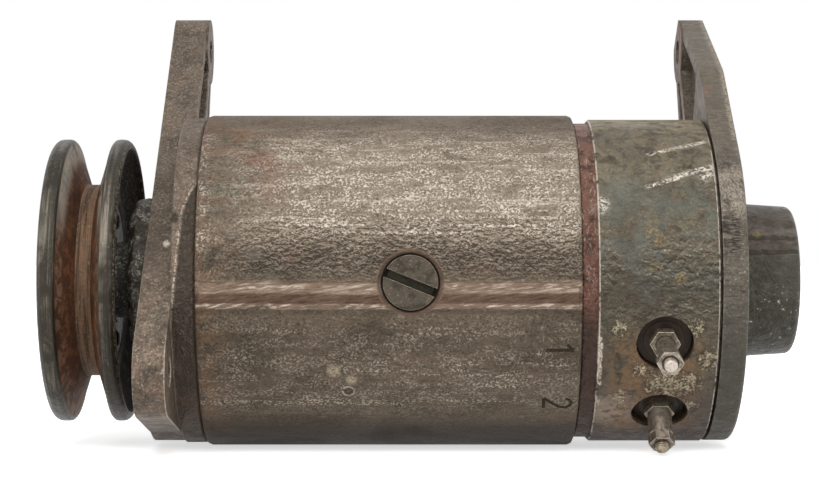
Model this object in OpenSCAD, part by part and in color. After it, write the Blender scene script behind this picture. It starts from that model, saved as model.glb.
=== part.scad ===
// Belt-driven direct-current generator with two pivot ears and one belt tension ear.
// The shaft runs along X with the pulley at the low end, the front faces -Y and +Z is up.
// Stations along the shaft count from the drive end face of the yoke, and the finished
// model is moved so that the centre of the drive end pivot bore is the origin.

/* [Yoke] */
// Outer radius of the rolled steel yoke
yoke_r = 52.5; // [51:0.5:56]
// Length of the yoke
yoke_len = 115.3; // [112:0.1:125]
// Wall of the yoke
yoke_wall = 5.5; // [5:0.1:6]
// Distance from the middle of the yoke to the middle of the poles, towards the housing
pole_shift = 6.55; // [5:0.05:7.5]
// Width of the butt weld band
seam_w = 8; // [5:0.5:11]
// Depth of the butt weld band below the yoke surface
seam_depth = 0.4; // [0.2:0.1:0.8]
// Angle of the weld band below the front
seam_angle = 4; // [3:0.5:9]
// Rounding of the yoke end edges
yoke_edge = 1.5; // [0.6:0.1:2]

/* [Pole screws] */
// Radius of the slotted head
screw_head_r = 8.25; // [7.5:0.05:9]
// Height of the straight rim of the head
screw_rim_h = 1.2; // [0.8:0.1:1.8]
// Radius of the shank
screw_shank_r = 5; // [4:0.1:5.5]
// Radius of the countersunk seat at the yoke surface
screw_seat_r = 10; // [9.2:0.1:11]
// Depth of the head below the yoke surface
screw_sink = 1.2; // [0.8:0.1:1.6]
// Width of the slot
screw_slot_w = 2.6; // [1.8:0.1:3.2]
// Depth of the slot
screw_slot_depth = 2; // [1.2:0.1:2.6]
// Tilt of the slot
screw_slot_tilt = 22; // [0:1:45]

/* [Poles and field coils] */
// Length of the yoke that the pole shoes leave free
pole_room = 39.3; // [39:0.1:45]
// Width of the pole body
pole_w = 40; // [36:0.5:44]
// Width across the pole horns
pole_horn_w = 62; // [58:0.5:64]
// Thickness of the pole horns
pole_horn_t = 3.2; // [2.6:0.1:3.8]
// Gap between the pole faces and the armature core
air_gap = 0.5; // [0.4:0.05:0.8]
// Reach of a field coil past the end of its pole
coil_reach = 7; // [6:0.5:7.5]
// Overall width of a field coil
coil_w = 68; // [66:0.5:70]
// Clearance round a field coil
coil_gap = 0.3; // [0.2:0.05:0.5]

/* [Armature] */
// Radius of the laminated core
core_r = 33; // [31:0.5:34]
// Length of the core
core_len = 72; // [66:1:78]
// Number of winding slots
slot_count = 14; // [12:1:18]
// Width of a winding slot
slot_w = 5.2; // [4:0.1:6]
// Depth of a winding slot
slot_depth = 10; // [8:0.5:11]
// Length of the drive end turns past the core
end_turn_len = 14; // [10:0.5:15]
// Outer radius of the end turns
end_turn_r = 31; // [28:0.5:32]
// Radius of the shaft under the core and the commutator
shaft_r = 9.5; // [9.2:0.1:10.5]

/* [Commutator] */
// Radius of the brush track
comm_r = 20; // [18.5:0.5:21]
// Length of the bars
comm_len = 28; // [24:0.5:30]
// Number of bars
bar_count = 24; // [20:1:28]
// Slit between two bars
bar_slit = 0.6; // [0.4:0.1:0.9]
// Radial height of the bars
bar_h = 6; // [5:0.1:7]
// Space between the end turns and the commutator
comm_space = 1.7; // [1:0.1:2.5]
// Distance from the housing face at the neck back to the start of the commutator
comm_reach = 4.3; // [3.5:0.1:5]

/* [Brush gear] */
// Direction of the first brush, counted from the back over the top
brush_angle = 135; // [130:1:140]
// Width of a brush along the shaft
brush_w = 12; // [10:0.5:14]
// Thickness of a brush round the commutator
brush_t = 7; // [6:0.1:8]
// Room between the outer end of a brush and the housing
brush_room = 8.4; // [8:0.1:9]
// Gap between a brush and the commutator
brush_gap = 0.1; // [0.05:0.01:0.2]
// Sheet thickness of a brush holder
holder_t = 1.5; // [1.2:0.1:1.8]
// Radial height of a brush holder box
holder_h = 9; // [8:0.5:10]
// Sideways distance from a brush to its arm pivot
arm_offset = 13; // [12.5:0.1:14]
// Radius of an arm pivot pin
arm_pin_r = 1.6; // [1.3:0.05:1.8]
// Thickness of a brush arm
arm_t = 1.6; // [1.2:0.1:2]
// Thickness of the insulating plate of the positive holder
holder_plate_t = 1.5; // [1:0.1:2]

/* [Bearings] */
// Bore radius of the drive bearing
drive_bore_r = 8.5; // [8.2:0.1:9]
// Outer radius of the drive bearing
drive_outer_r = 20; // [19:0.5:21]
// Width of the drive bearing
drive_bearing_w = 12; // [11:0.5:12]
// Ball radius of the drive bearing
drive_ball_r = 3.37; // [3:0.01:3.6]
// Bore radius of the rear bearing
rear_bore_r = 7.5; // [7:0.5:8]
// Outer radius of the rear bearing
rear_outer_r = 17.5; // [17:0.5:18]
// Width of the rear bearing
rear_bearing_w = 11; // [10:0.5:12]
// Ball radius of the rear bearing
rear_ball_r = 2.98; // [2.6:0.01:3.1]
// Number of balls in a bearing
ball_count = 8; // [7:1:9]

/* [Drive end bracket] */
// Radius of the bracket flange
flange_r = 51.7; // [50.5:0.1:52]
// Thickness of the flange between the yoke and the ear plate
flange_t = 7.1; // [6.5:0.1:8]
// Thickness of the ear plate
ear_plate_t = 9.5; // [8:0.1:11]
// Wall left between the bearing pocket side and the flange face
flange_web_t = 4.5; // [4:0.1:5]
// Depth of the register that enters the yoke
register_len = 5; // [4:0.5:6]
// Outer radius of the drive bearing boss
drive_boss_r = 25.8; // [25:0.1:27]
// Reach of the drive bearing boss past the ear plate
drive_boss_len = 6.5; // [6:0.1:7.5]
// Belt tension ear, distance in front of the shaft
tension_y = 53.5; // [52:0.5:56]
// Belt tension ear, distance below the shaft
tension_z = 26.5; // [24:0.5:29]
// Radius of the belt tension ear tip
tension_tip_r = 13.5; // [12:0.5:14.5]
// Radius of the belt tension hole
tension_hole_r = 4.2; // [3.5:0.1:5]

/* [Pivot ears] */
// Pivot bore, distance behind the shaft
pivot_y = 57; // [54:0.5:60]
// Pivot bore, height above the shaft
pivot_z = 78; // [75:0.5:82]
// Radius of the pivot ear tips
pivot_tip_r = 11; // [10:0.5:12]
// Radius of the pivot bores
pivot_hole_r = 4.2; // [3.5:0.1:5]
// Height of the drive end boss face over the ear plate
drive_pad_h = 2.3; // [1.5:0.1:3]
// Height of the commutator end boss face over the ear plate
comm_pad_h = 0.5; // [0.4:0.1:1.2]
// Height of the rim of the drive end arm over the ear plate
arm_rim_h = 1.6; // [0.5:0.1:1.8]
// Radius that an arm starts from at the shaft
arm_base_r = 30; // [26:0.5:34]
// Height of the bevel round the ear tips
tip_bevel_h = 3.2; // [2:0.1:3.6]
// Depth of the bevel round the ear tips
tip_bevel_t = 2.2; // [1:0.1:2.6]
// Rim left round the casting pockets
pocket_rim = 4; // [3:0.5:5]
// Depth of the casting pockets
pocket_depth = 3.5; // [2.5:0.1:4.5]
// Width of the ribs under the pivot bosses
ear_rib_w = 5; // [4:0.5:6]

/* [Commutator housing] */
// Radius of the housing
housing_r = 51.2; // [50.8:0.1:53]
// Length of the housing
housing_len = 36.2; // [35:0.1:40]
// Radius of the neck next to the yoke
neck_r = 50; // [49:0.1:50.5]
// Thickness of the web between the neck and the housing
neck_web_t = 3; // [2:0.1:4]
// Wall of the housing
housing_wall = 6.9; // [6.6:0.1:7.2]
// Length of the neck
neck_len = 4.9; // [4:0.1:6]
// Wall of the registers inside the yoke
register_wall = 2.4; // [2.2:0.1:2.6]
// Bevel of the housing edges
housing_edge = 0.7; // [0.4:0.1:1.2]

/* [Commutator end bracket] */
// Radius of the end disc
disc_r = 51; // [50:0.5:52]
// Thickness of the end disc
disc_t = 7.7; // [7:0.1:9]
// Open joint between the housing and the rim of the disc
joint_gap = 0.8; // [0.5:0.1:1.2]
// Rounding of the outer rim of the disc
disc_edge = 1.4; // [1:0.1:3]
// Radius of the rear bearing boss
rear_boss_r = 24.7; // [24:0.1:26]
// Reach of the rear bearing boss past the disc
rear_boss_len = 20.4; // [19.5:0.1:22]
// Draft of the rear boss, from the disc to its end
rear_boss_draft = 1.2; // [0.4:0.1:1.4]
// Rounding of the rear boss
rear_boss_edge = 2.2; // [1.5:0.1:3]
// Shoulder of the front edge of the commutator end arm, distance behind the shaft
shoulder_y = 14; // [12:0.5:16]
// Shoulder of the front edge, height above the shaft
shoulder_z = 50; // [48:0.5:52]
// Radius of that shoulder
shoulder_r = 20; // [18:0.5:22]

/* [Through bolts] */
// Radius of the through bolts
bolt_r = 2.5; // [2:0.1:2.6]
// Direction of the first bolt, counted from the back over the top
bolt_angle = 75; // [72:1:80]
// Radius of the bolt heads
bolt_head_r = 4.3; // [4:0.1:4.5]
// Height of the bolt heads
bolt_head_h = 3.6; // [3:0.1:4]
// Thickness of the spring washers
washer_t = 1.2; // [0.8:0.1:1.4]

/* [Terminals] */
// Angle of the armature terminal below the front
armature_terminal_angle = 21; // [20:1:23]
// Angle of the field terminal below the front
field_terminal_angle = 51.5; // [49:0.5:54]
// Tip of the armature terminal stud over the housing surface
armature_stud_h = 16.6; // [14:0.1:18]
// Tip of the field terminal stud over the housing surface
field_stud_h = 13.8; // [12:0.1:16]
// Distance of the terminals from the neck end of the housing
terminal_x = 20; // [19:0.1:20.5]
// Radius of a terminal recess
recess_r = 8.6; // [8.2:0.1:9]
// Depth of a terminal recess
recess_depth = 4.4; // [4:0.1:4.6]
// Radius of the terminal studs
stud_r = 2; // [1.8:0.05:2.2]
// Width across the flats of the base nuts
base_nut_af = 8; // [7:0.1:9]
// Width across the flats of the outer nuts
outer_nut_af = 7; // [6.5:0.1:8]
// Height of the nuts
nut_h = 3.2; // [2.6:0.1:3.4]
// Free end of a stud past its outer nut
stud_free = 2.2; // [1.5:0.1:3]
// Radius of the collar on the armature stud
armature_collar_r = 2.7; // [2.5:0.1:4]
// Radius of the collar on the field stud
field_collar_r = 3.7; // [2.5:0.1:4]

/* [Pulley] */
// Outer radius of the pulley
pulley_r = 44.9; // [43:0.1:48]
// Radius of the groove floor
groove_floor_r = 30.5; // [29.5:0.1:31]
// Width of the groove at the rim
groove_mouth = 13; // [12:0.1:13.2]
// Width of the groove floor
groove_floor = 4.6; // [4:0.1:5.5]
// Width of the outer rim
outer_rim_w = 5.6; // [5:0.1:6]
// Width of the inner rim
inner_rim_w = 5.1; // [4.2:0.1:5.4]
// Rounding of the rims towards their outer faces
rim_round = 2.4; // [1:0.1:2.5]
// Rounding of the rims towards the groove
mouth_round = 1.3; // [0.6:0.1:1.6]
// Sheet thickness of the pulley halves
pulley_t = 3; // [2.5:0.1:3.2]
// Gap between the ear plate and the inner rim
pulley_space = 8.1; // [8:0.1:10]
// Radius of the pulley hub
pulley_hub_r = 13.5; // [13:0.1:14.5]
// Radius of the hub flange
hub_flange_r = 24; // [23:0.5:25]
// Radius of the pulley seat on the shaft
pulley_seat_r = 7.5; // [7:0.1:8]
// Number of rivets
rivet_count = 6; // [4:1:8]
// Radius of the rivets
rivet_r = 2; // [1.5:0.1:2.5]
// Radius of the shaft thread
thread_r = 6; // [5.5:0.1:6.5]
// Width across the flats of the pulley nut
pulley_nut_af = 19; // [18:0.5:20]
// Height of the pulley nut
pulley_nut_h = 7; // [6:0.1:8]
// Thickness of the pulley spring washer
pulley_washer_t = 2; // [1.5:0.1:2.5]
// Radius of the collar between the bearing and the pulley
collar_r = 12; // [11.5:0.1:12.5]

/* [Fits] */
// Radial clearance of turned pieces that sit in each other
seat_gap = 0.03; // [0.02:0.01:0.05]
// Radial clearance of screws and studs in plain holes
hole_gap = 0.3; // [0.2:0.05:0.4]
// Clearance of sliding brushes
slide_gap = 0.15; // [0.1:0.01:0.2]
// Radial clearance of the brush arms on their pins
pin_gap = 0.05; // [0.02:0.01:0.1]
// Clearance of balls in their tracks
ball_gap = 0.06; // [0.04:0.01:0.1]

/* [Hidden] */
$fn = 72;

// Small overlap that lets cuts pass a face
cut = 1;
// Reach of a pole screw into its pole
screw_hold = 9;
// Corner radius of a field coil
coil_corner_r = 11;
// Radius inside the yoke
bore_r = yoke_r - yoke_wall;
// Radius inside the registers
register_r = bore_r - register_wall;
// Radius inside the housing and inside the neck
housing_in_r = housing_r - housing_wall;
neck_in_r = min(register_r, housing_in_r) - 0.2;
// Radius of the bolt circle
bolt_circle_r = min(register_r, housing_in_r) - bolt_r - 0.3;
// Drive end stations
plate_in = -flange_t;
plate_out = plate_in - ear_plate_t;
drive_boss_end = plate_out - drive_boss_len;
web_in = plate_in + flange_web_t;
// Drive bearing and the felt pocket behind it
bearing_in = web_in;
bearing_out = bearing_in - drive_bearing_w;
felt_t = 4.4;
felt_r = drive_outer_r - 3;
felt_out = bearing_out - felt_t;
// Retainer plate of the drive bearing and its screws
retainer_reach = 9.5;
retainer_r = drive_outer_r + retainer_reach;
retainer_screw_circle = drive_outer_r + retainer_reach - 5;
retainer_screw_r = 1.5;
retainer_t = 2;
retainer_face = web_in + retainer_t;
retainer_screw_len = 6;
retainer_head_r = 2.75;
retainer_head_h = 2;
// Commutator end stations
housing_start = yoke_len + neck_len;
housing_end = housing_start + housing_len;
disc_in = housing_end + joint_gap;
disc_out = disc_in + disc_t;
rear_boss_end = disc_out + rear_boss_len;
rear_wall = 3.5;
rear_space = 2.2;
rear_bearing_out = rear_boss_end - rear_wall - rear_space;
rear_bearing_in = rear_bearing_out - rear_bearing_w;
// Armature stations
pole_center = yoke_len / 2 + pole_shift;
pole_len = yoke_len - pole_room;
core_start = pole_center - core_len / 2;
core_end = pole_center + core_len / 2;
comm_start = housing_start - comm_reach;
comm_end = comm_start + comm_len;
// Pulley stations, from the inner rim to the outer rim
inner_rim_back = plate_out - pulley_space;
pulley_mid = inner_rim_back - inner_rim_w - groove_mouth / 2;
hub_back_reach = 7.2;
hub_front_reach = 4.4;
hub_back = pulley_mid + hub_back_reach;
hub_front = pulley_mid - hub_front_reach;
hub_flange_t = 3;
rim_lip_h = 3.4;
rim_lip_foot = 5;
key_w = 4;
key_h = 5;
key_len = 8;
rivet_circle_r = (pulley_hub_r + hub_flange_r) / 2;
shaft_shoulder_r = drive_bore_r + 2;
shaft_start = hub_front - pulley_washer_t - pulley_nut_h - 2.5;
// Directions of the ears in the plane across the shaft
pivot_c = [pivot_y, pivot_z];
tension_c = [-tension_y, -tension_z];
shoulder_c = [shoulder_y, shoulder_z];
// Pivot bore of the drive end, whose middle is the origin of the finished model
drive_pad_face = plate_in + drive_pad_h;
pivot_x = (plate_out + drive_pad_face) / 2;
comm_pad_face = disc_in - comm_pad_h;
// Brush gear in the plane across the shaft
brush_x = comm_start + comm_len / 2;
brush_base = comm_r + brush_gap;
brush_top = housing_in_r - brush_room;
brush_len = brush_top - brush_base;
holder_base = comm_r + 2.5;
holder_top = holder_base + holder_h;
holder_in = slide_gap + brush_t / 2;
holder_out = holder_in + holder_t;
foot_t = 2;
pad_h = 4;
foot_x = housing_end - pad_h - foot_t;
foot_edge = 4;
holder_screw_u = 9;
foot_from = [brush_base + 0.5, -holder_screw_u - foot_edge];
foot_room = 7.2;
foot_size = [housing_in_r - foot_room - foot_from[0], holder_screw_u + arm_offset + 2 * foot_edge];
foot_rim = 0.3;
pad_rim = 1;
holder_screw_v = foot_from[0] + foot_size[0] - 3.6;
holder_screw_r = 1.25;
holder_screw_hold = 4;
holder_screw_head_r = 2.2;
holder_screw_head_h = 1.6;
pivot_drop = 5.9;
pivot_v = brush_top - pivot_drop;
arm_tip_r = 1.5;
arm_tip_gap = 0.3;
arm_tip = [brush_top + arm_tip_gap + arm_tip_r, 0];
arm_knee = [brush_top + 3.3, brush_t / 2 + 2.5];
arm_hub = [pivot_v, arm_offset];
arm_hub_r = arm_pin_r + 1.5;
arm_w = 5;
brush_angles = [brush_angle, brush_angle + 180];
bolt_angles = [bolt_angle, bolt_angle + 180];
// Terminals
terminal_s = housing_start + terminal_x;
terminal_angles = [180 + armature_terminal_angle, 180 + field_terminal_angle];
stud_tips = [housing_r + armature_stud_h, housing_r + field_stud_h];
collar_radii = [armature_collar_r, field_collar_r];
recess_floor = housing_r - recess_depth;
terminal_pad_r = recess_r + 2;
terminal_pad_in = housing_in_r - 2.3;
bush_flange_t = 1.2;
bush_step_t = 0.5;
bush_r = stud_r + 2.2;
bush_face = recess_floor + bush_flange_t + bush_step_t;
base_nut_top = bush_face + nut_h;
inner_washer_t = 1.6;
inner_nut_face = terminal_pad_in - inner_washer_t;
inner_nut_end = inner_nut_face - nut_h;

// Moves a model from shaft stations to the finished frame
module in_frame() {
    translate([-pivot_x, -pivot_y, -pivot_z])
        children();
}

// Solid cylinder along the shaft
module rod(start, end, r) {
    translate([start, 0, 0])
        rotate([0, 90, 0])
            cylinder(h = end - start, r = r);
}

// Hollow cylinder along the shaft
module tube(start, end, outer, inner) {
    difference() {
        rod(start, end, outer);
        rod(start - cut, end + cut, inner);
    }
}

// Turns a profile of [station, radius] points round the shaft
module turned(points) {
    rotate([0, 90, 0])
        rotate_extrude()
            polygon([for (p = points) [p[1], p[0]]]);
}

// Extrudes an outline drawn across the shaft between two stations
module across(start, end) {
    translate([start, 0, 0])
        rotate([90, 0, 90])
            linear_extrude(end - start)
                children();
}

// Turns the local Y direction to an angle counted from the back over the top
module toward(angle) {
    rotate([angle, 0, 0])
        children();
}

// Cylinder that runs outward from the shaft
module spoke(station, from, to, r) {
    translate([station, from, 0])
        rotate([-90, 0, 0])
            cylinder(h = to - from, r = r);
}

// Hexagonal nut round an outward stud
module spoke_nut(station, from, to, flats, hole) {
    difference() {
        translate([station, from, 0])
            rotate([-90, 0, 0])
                cylinder(h = to - from, r = flats / 2 / cos(30), $fn = 6);
        spoke(station, from - cut, to + cut, hole);
    }
}

// Points of a quarter round from one direction to the next
function rounded(center, r, from, to, steps = 5) =
    [for (i = [0 : steps]) center + r * [cos(from + (to - from) * i / steps),
                                         sin(from + (to - from) * i / steps)]];

// Direction of the touching line of two circles, on the left of the way from one to the other
function touch_angle(c1, r1, c2, r2) =
    atan2(c2[1] - c1[1], c2[0] - c1[0]) + acos((r1 - r2) / norm(c2 - c1));

function touch_angle_right(c1, r1, c2, r2) =
    atan2(c2[1] - c1[1], c2[0] - c1[0]) - acos((r1 - r2) / norm(c2 - c1));

function at_angle(c, r, a) = c + r * [cos(a), sin(a)];

// Two round ends with straight sides, which start a hair inside the ends
module tapered_arm(c1, r1, c2, r2) {
    left = touch_angle(c1, r1, c2, r2);
    right = touch_angle_right(c1, r1, c2, r2);
    hair = 0.02;
    translate(c1)
        circle(r1);
    translate(c2)
        circle(r2);
    polygon([
        at_angle(c1, r1 - hair, left), at_angle(c2, r2 - hair, left),
        at_angle(c2, r2 - hair, right), at_angle(c1, r1 - hair, right)
    ]);
}

// Everything behind the touching line of two circles
module behind_line(c1, r1, c2, r2) {
    reach = 200;
    left = touch_angle(c1, r1, c2, r2);
    p1 = at_angle(c1, r1, left);
    p2 = at_angle(c2, r2, left);
    along = (p2 - p1) / norm(p2 - p1);
    back = -[cos(left), sin(left)];
    polygon([
        p1 - reach * along, p2 + reach * along,
        p2 + reach * along + reach * back, p1 - reach * along + reach * back
    ]);
}

// Yoke

module seam_cut() {
    toward(180 + seam_angle)
        translate([-cut, yoke_r - seam_depth, -seam_w / 2])
            cube([yoke_len + 2 * cut, seam_depth + cut, seam_w]);
    for (s = [0, yoke_len])
        toward(180 + seam_angle)
            translate([s, yoke_r, 0])
                rotate([0, 0, 45])
                    cube([2.4, 2.4, seam_w * 0.6], center = true);
}

module pole_screw_seat() {
    sink = yoke_r - screw_sink - screw_rim_h;
    flare_h = screw_sink + 0.4;
    flare = (screw_seat_r - screw_head_r - hole_gap) / flare_h;
    spoke(pole_center, bore_r - cut, yoke_r + cut, screw_shank_r + hole_gap);
    spoke(pole_center, sink, yoke_r + cut, screw_head_r + hole_gap);
    translate([pole_center, sink, 0])
        rotate([90, 0, 0])
            cylinder(h = screw_head_r - screw_shank_r,
                     r1 = screw_head_r + hole_gap, r2 = screw_shank_r + hole_gap);
    translate([pole_center, yoke_r - flare_h, 0])
        rotate([-90, 0, 0])
            cylinder(h = flare_h + cut, r1 = screw_head_r + hole_gap,
                     r2 = screw_seat_r + flare * cut);
}

module yoke() {
    color("dimgray")
        in_frame()
            difference() {
                turned([
                    [0, bore_r], [0, yoke_r - yoke_edge], [yoke_edge * 0.3, yoke_r - yoke_edge * 0.3],
                    [yoke_edge, yoke_r], [yoke_len - yoke_edge, yoke_r],
                    [yoke_len - yoke_edge * 0.3, yoke_r - yoke_edge * 0.3],
                    [yoke_len, yoke_r - yoke_edge], [yoke_len, bore_r]
                ]);
                seam_cut();
                for (a = [0, 180])
                    toward(a)
                        pole_screw_seat();
            }
}

// Pole screws, shoes and coils

module pole_screw() {
    top = yoke_r - screw_sink;
    taper = screw_head_r - screw_shank_r;
    tip = bore_r - screw_hold;
    difference() {
        union() {
            spoke(pole_center, top - screw_rim_h, top, screw_head_r);
            translate([pole_center, top - screw_rim_h, 0])
                rotate([90, 0, 0])
                    cylinder(h = taper, r1 = screw_head_r, r2 = screw_shank_r);
            spoke(pole_center, tip, top - screw_rim_h - taper / 2, screw_shank_r);
        }
        translate([pole_center, top, 0])
            rotate([0, -screw_slot_tilt, 0])
                cube([3 * screw_head_r, 2 * screw_slot_depth, screw_slot_w], center = true);
    }
}

module pole_screw_front() {
    color("slategray")
        in_frame()
            toward(180)
                pole_screw();
}

module pole_screw_rear() {
    color("slategray")
        in_frame()
            pole_screw();
}

module pole_block(width, inner, outer) {
    intersection() {
        tube(pole_center - pole_len / 2, pole_center + pole_len / 2, outer, inner);
        translate([pole_center - pole_len, 0, -width / 2])
            cube([2 * pole_len, outer + cut, width]);
    }
}

module pole_shoe() {
    face_r = core_r + air_gap;
    difference() {
        union() {
            pole_block(pole_w, face_r, bore_r - seat_gap);
            pole_block(pole_horn_w, face_r, face_r + pole_horn_t);
        }
        spoke(pole_center, bore_r - screw_hold - 0.5, bore_r + cut, screw_shank_r + seat_gap);
    }
}

module pole_shoe_front() {
    color("gray")
        in_frame()
            toward(180)
                pole_shoe();
}

module pole_shoe_rear() {
    color("gray")
        in_frame()
            pole_shoe();
}

// Flat ring with round corners, seen along the pole axis
module coil_outline(grow, width, corner) {
    half_x = pole_len / 2 + grow;
    half_z = width / 2;
    square([2 * (half_x - corner), 2 * half_z], center = true);
    square([2 * half_x, 2 * (half_z - corner)], center = true);
    for (sx = [-1, 1], sz = [-1, 1])
        translate([sx * (half_x - corner), sz * (half_z - corner)])
            circle(corner);
}

module field_coil() {
    inner = core_r + air_gap + pole_horn_t + coil_gap;
    outer = bore_r - coil_gap;
    translate([pole_center, 0, 0])
        intersection() {
            translate([-pole_center, 0, 0])
                tube(0, yoke_len, outer, inner);
            rotate([-90, 0, 0])
                linear_extrude(outer + cut)
                    difference() {
                        coil_outline(coil_reach, coil_w, coil_corner_r);
                        coil_outline(coil_gap, pole_w + 2 * coil_gap, 1);
                    }
        }
}

module field_coil_front() {
    color("saddlebrown")
        in_frame()
            toward(180)
                field_coil();
}

module field_coil_rear() {
    color("saddlebrown")
        in_frame()
            field_coil();
}

// Pivot ears

// Recess in the inner face of an arm, between its rims, its boss and its rib
module arm_pocket(c1, r1, body_r) {
    difference() {
        intersection() {
            union() {
                tapered_arm(c1, r1 - pocket_rim, pivot_c, pivot_tip_r - pocket_rim);
                tapered_arm([0, 0], arm_base_r - pocket_rim, pivot_c, pivot_tip_r - pocket_rim);
            }
            translate(pivot_c)
                circle(norm(pivot_c) - body_r);
        }
        circle(body_r + 2);
        translate(pivot_c)
            circle(pivot_tip_r);
        arm_rib(0);
    }
}

// Slants an ear face at the far end of the tip
module tip_bevel(face, inward, deep, high) {
    reach = norm(pivot_c) + pivot_tip_r;
    toward(atan2(pivot_z, pivot_y))
        translate([0, 0, -2 * pivot_tip_r])
            linear_extrude(4 * pivot_tip_r)
                polygon([
                    [face - inward * cut, reach - high - high * cut / deep],
                    [face + inward * deep * (1 + cut / high), reach + cut],
                    [face - inward * cut, reach + cut]
                ]);
}

// Rib from the body to the pivot boss
module arm_rib(start) {
    length = norm(pivot_c);
    rotate(atan2(pivot_z, pivot_y))
        translate([start, -ear_rib_w / 2])
            square([length - start, ear_rib_w]);
}

// Drive end

module drive_plate_outline() {
    tapered_arm(tension_c, tension_tip_r, pivot_c, pivot_tip_r);
    tapered_arm([0, 0], arm_base_r, pivot_c, pivot_tip_r);
    intersection() {
        union() {
            circle(flange_r - 0.6);
            tapered_arm([0, 0], flange_r - 1.6, tension_c, tension_tip_r);
        }
        behind_line(tension_c, tension_tip_r, pivot_c, pivot_tip_r);
    }
}

module drive_end_bracket() {
    edge = 0.6;
    color("darkslategray")
        in_frame()
            difference() {
                union() {
                    turned([
                        [plate_in, 0], [plate_in, flange_r - edge], [plate_in + edge, flange_r],
                        [-edge, flange_r], [0, flange_r - edge], [0, bore_r - seat_gap],
                        [register_len, bore_r - seat_gap], [register_len, 0]
                    ]);
                    across(plate_out, plate_in + 0.01)
                        drive_plate_outline();
                    turned([
                        [drive_boss_end, 0], [drive_boss_end, drive_boss_r - 1.5],
                        [drive_boss_end + 1.5, drive_boss_r], [plate_out + 0.01, drive_boss_r],
                        [plate_out + 0.01, 0]
                    ]);
                    across(plate_in - 0.01, drive_pad_face)
                        difference() {
                            union() {
                                translate(pivot_c)
                                    circle(pivot_tip_r);
                                arm_rib(0);
                            }
                            circle(flange_r);
                        }
                    across(plate_in - 0.01, plate_in + arm_rim_h)
                        difference() {
                            tapered_arm([0, 0], arm_base_r, pivot_c, pivot_tip_r);
                            circle(flange_r);
                            arm_pocket(tension_c, tension_tip_r, flange_r);
                        }
                }
                tip_bevel(plate_out, 1, tip_bevel_t, tip_bevel_h);
                rod(web_in, register_len + cut, register_r - 0.2);
                rod(bearing_out, web_in + cut, drive_outer_r + seat_gap);
                rod(felt_out, bearing_out + cut, felt_r);
                rod(drive_boss_end - cut, felt_out + cut, collar_r + 0.6);
                across(plate_in - pocket_depth, plate_in + arm_rim_h + cut)
                    arm_pocket(tension_c, tension_tip_r, flange_r);
                across(plate_out - cut, drive_pad_face + cut)
                    translate(pivot_c)
                        circle(pivot_hole_r);
                across(plate_out - cut, plate_in + cut)
                    translate(tension_c)
                        circle(tension_hole_r);
                for (a = bolt_angles)
                    toward(a)
                        translate([0, bolt_circle_r, 0])
                            rod(plate_out + 1.5, web_in + cut, bolt_r + seat_gap);
                for (a = [0 : 120 : 240])
                    toward(a)
                        translate([0, retainer_screw_circle, 0])
                            rod(web_in - retainer_screw_len - 1, web_in + cut,
                                retainer_screw_r + seat_gap);
            }
}

module bearing_retainer() {
    color("silver")
        in_frame()
            difference() {
                tube(web_in, retainer_face, retainer_r, drive_outer_r - 4);
                for (a = [0 : 120 : 240])
                    toward(a)
                        translate([0, retainer_screw_circle, 0])
                            rod(web_in - cut, retainer_face + cut, retainer_screw_r + hole_gap);
            }
}

module retainer_screws() {
    color("silver")
        in_frame()
            for (a = [0 : 120 : 240])
                toward(a)
                    translate([0, retainer_screw_circle, 0])
                        difference() {
                            union() {
                                rod(web_in - retainer_screw_len, retainer_face + 0.01,
                                    retainer_screw_r);
                                rod(retainer_face, retainer_face + retainer_head_h,
                                    retainer_head_r);
                            }
                            translate([retainer_face + retainer_head_h, 0, 0])
                                cube([retainer_head_h, 3 * retainer_head_r, 0.8], center = true);
                        }
}

module felt_ring() {
    color("beige")
        in_frame()
            tube(felt_out + 0.1, bearing_out - 0.1, felt_r - 0.1, collar_r + 0.3);
}

// Ball bearings

function pitch_r(inner, outer) = (inner + outer) / 2;

module ball_track(middle, pitch, ball_r) {
    translate([middle, 0, 0])
        rotate([0, 90, 0])
            rotate_extrude()
                translate([pitch, 0])
                    circle(ball_r + ball_gap);
}

module outer_race(start, width, inner, outer, ball_r) {
    pitch = pitch_r(inner, outer);
    difference() {
        tube(start, start + width, outer, pitch + ball_r / 2);
        ball_track(start + width / 2, pitch, ball_r);
    }
}

module inner_race(start, width, inner, outer, ball_r) {
    pitch = pitch_r(inner, outer);
    difference() {
        tube(start, start + width, pitch - ball_r / 2, inner + seat_gap);
        ball_track(start + width / 2, pitch, ball_r);
    }
}

module balls(start, width, inner, outer, ball_r) {
    for (i = [0 : ball_count - 1])
        toward(i * 360 / ball_count)
            translate([start + width / 2, pitch_r(inner, outer), 0])
                sphere(ball_r);
}

module ball_cage(start, width, inner, outer, ball_r) {
    pitch = pitch_r(inner, outer);
    middle = start + width / 2;
    half = ball_r + 0.8;
    difference() {
        tube(middle - half, middle + half, pitch + 0.8, pitch - 0.8);
        for (i = [0 : ball_count - 1])
            toward(i * 360 / ball_count)
                spoke(middle, pitch - ball_r, pitch + ball_r, ball_r + ball_gap);
    }
}

module drive_bearing_outer_race() {
    color("silver")
        in_frame()
            outer_race(bearing_out, drive_bearing_w, drive_bore_r, drive_outer_r, drive_ball_r);
}

module drive_bearing_inner_race() {
    color("silver")
        in_frame()
            inner_race(bearing_out, drive_bearing_w, drive_bore_r, drive_outer_r, drive_ball_r);
}

module drive_bearing_balls() {
    color("white")
        in_frame()
            balls(bearing_out, drive_bearing_w, drive_bore_r, drive_outer_r, drive_ball_r);
}

module drive_bearing_cage() {
    color("goldenrod")
        in_frame()
            ball_cage(bearing_out, drive_bearing_w, drive_bore_r, drive_outer_r, drive_ball_r);
}

module rear_bearing_outer_race() {
    color("silver")
        in_frame()
            outer_race(rear_bearing_in, rear_bearing_w, rear_bore_r, rear_outer_r, rear_ball_r);
}

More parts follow.
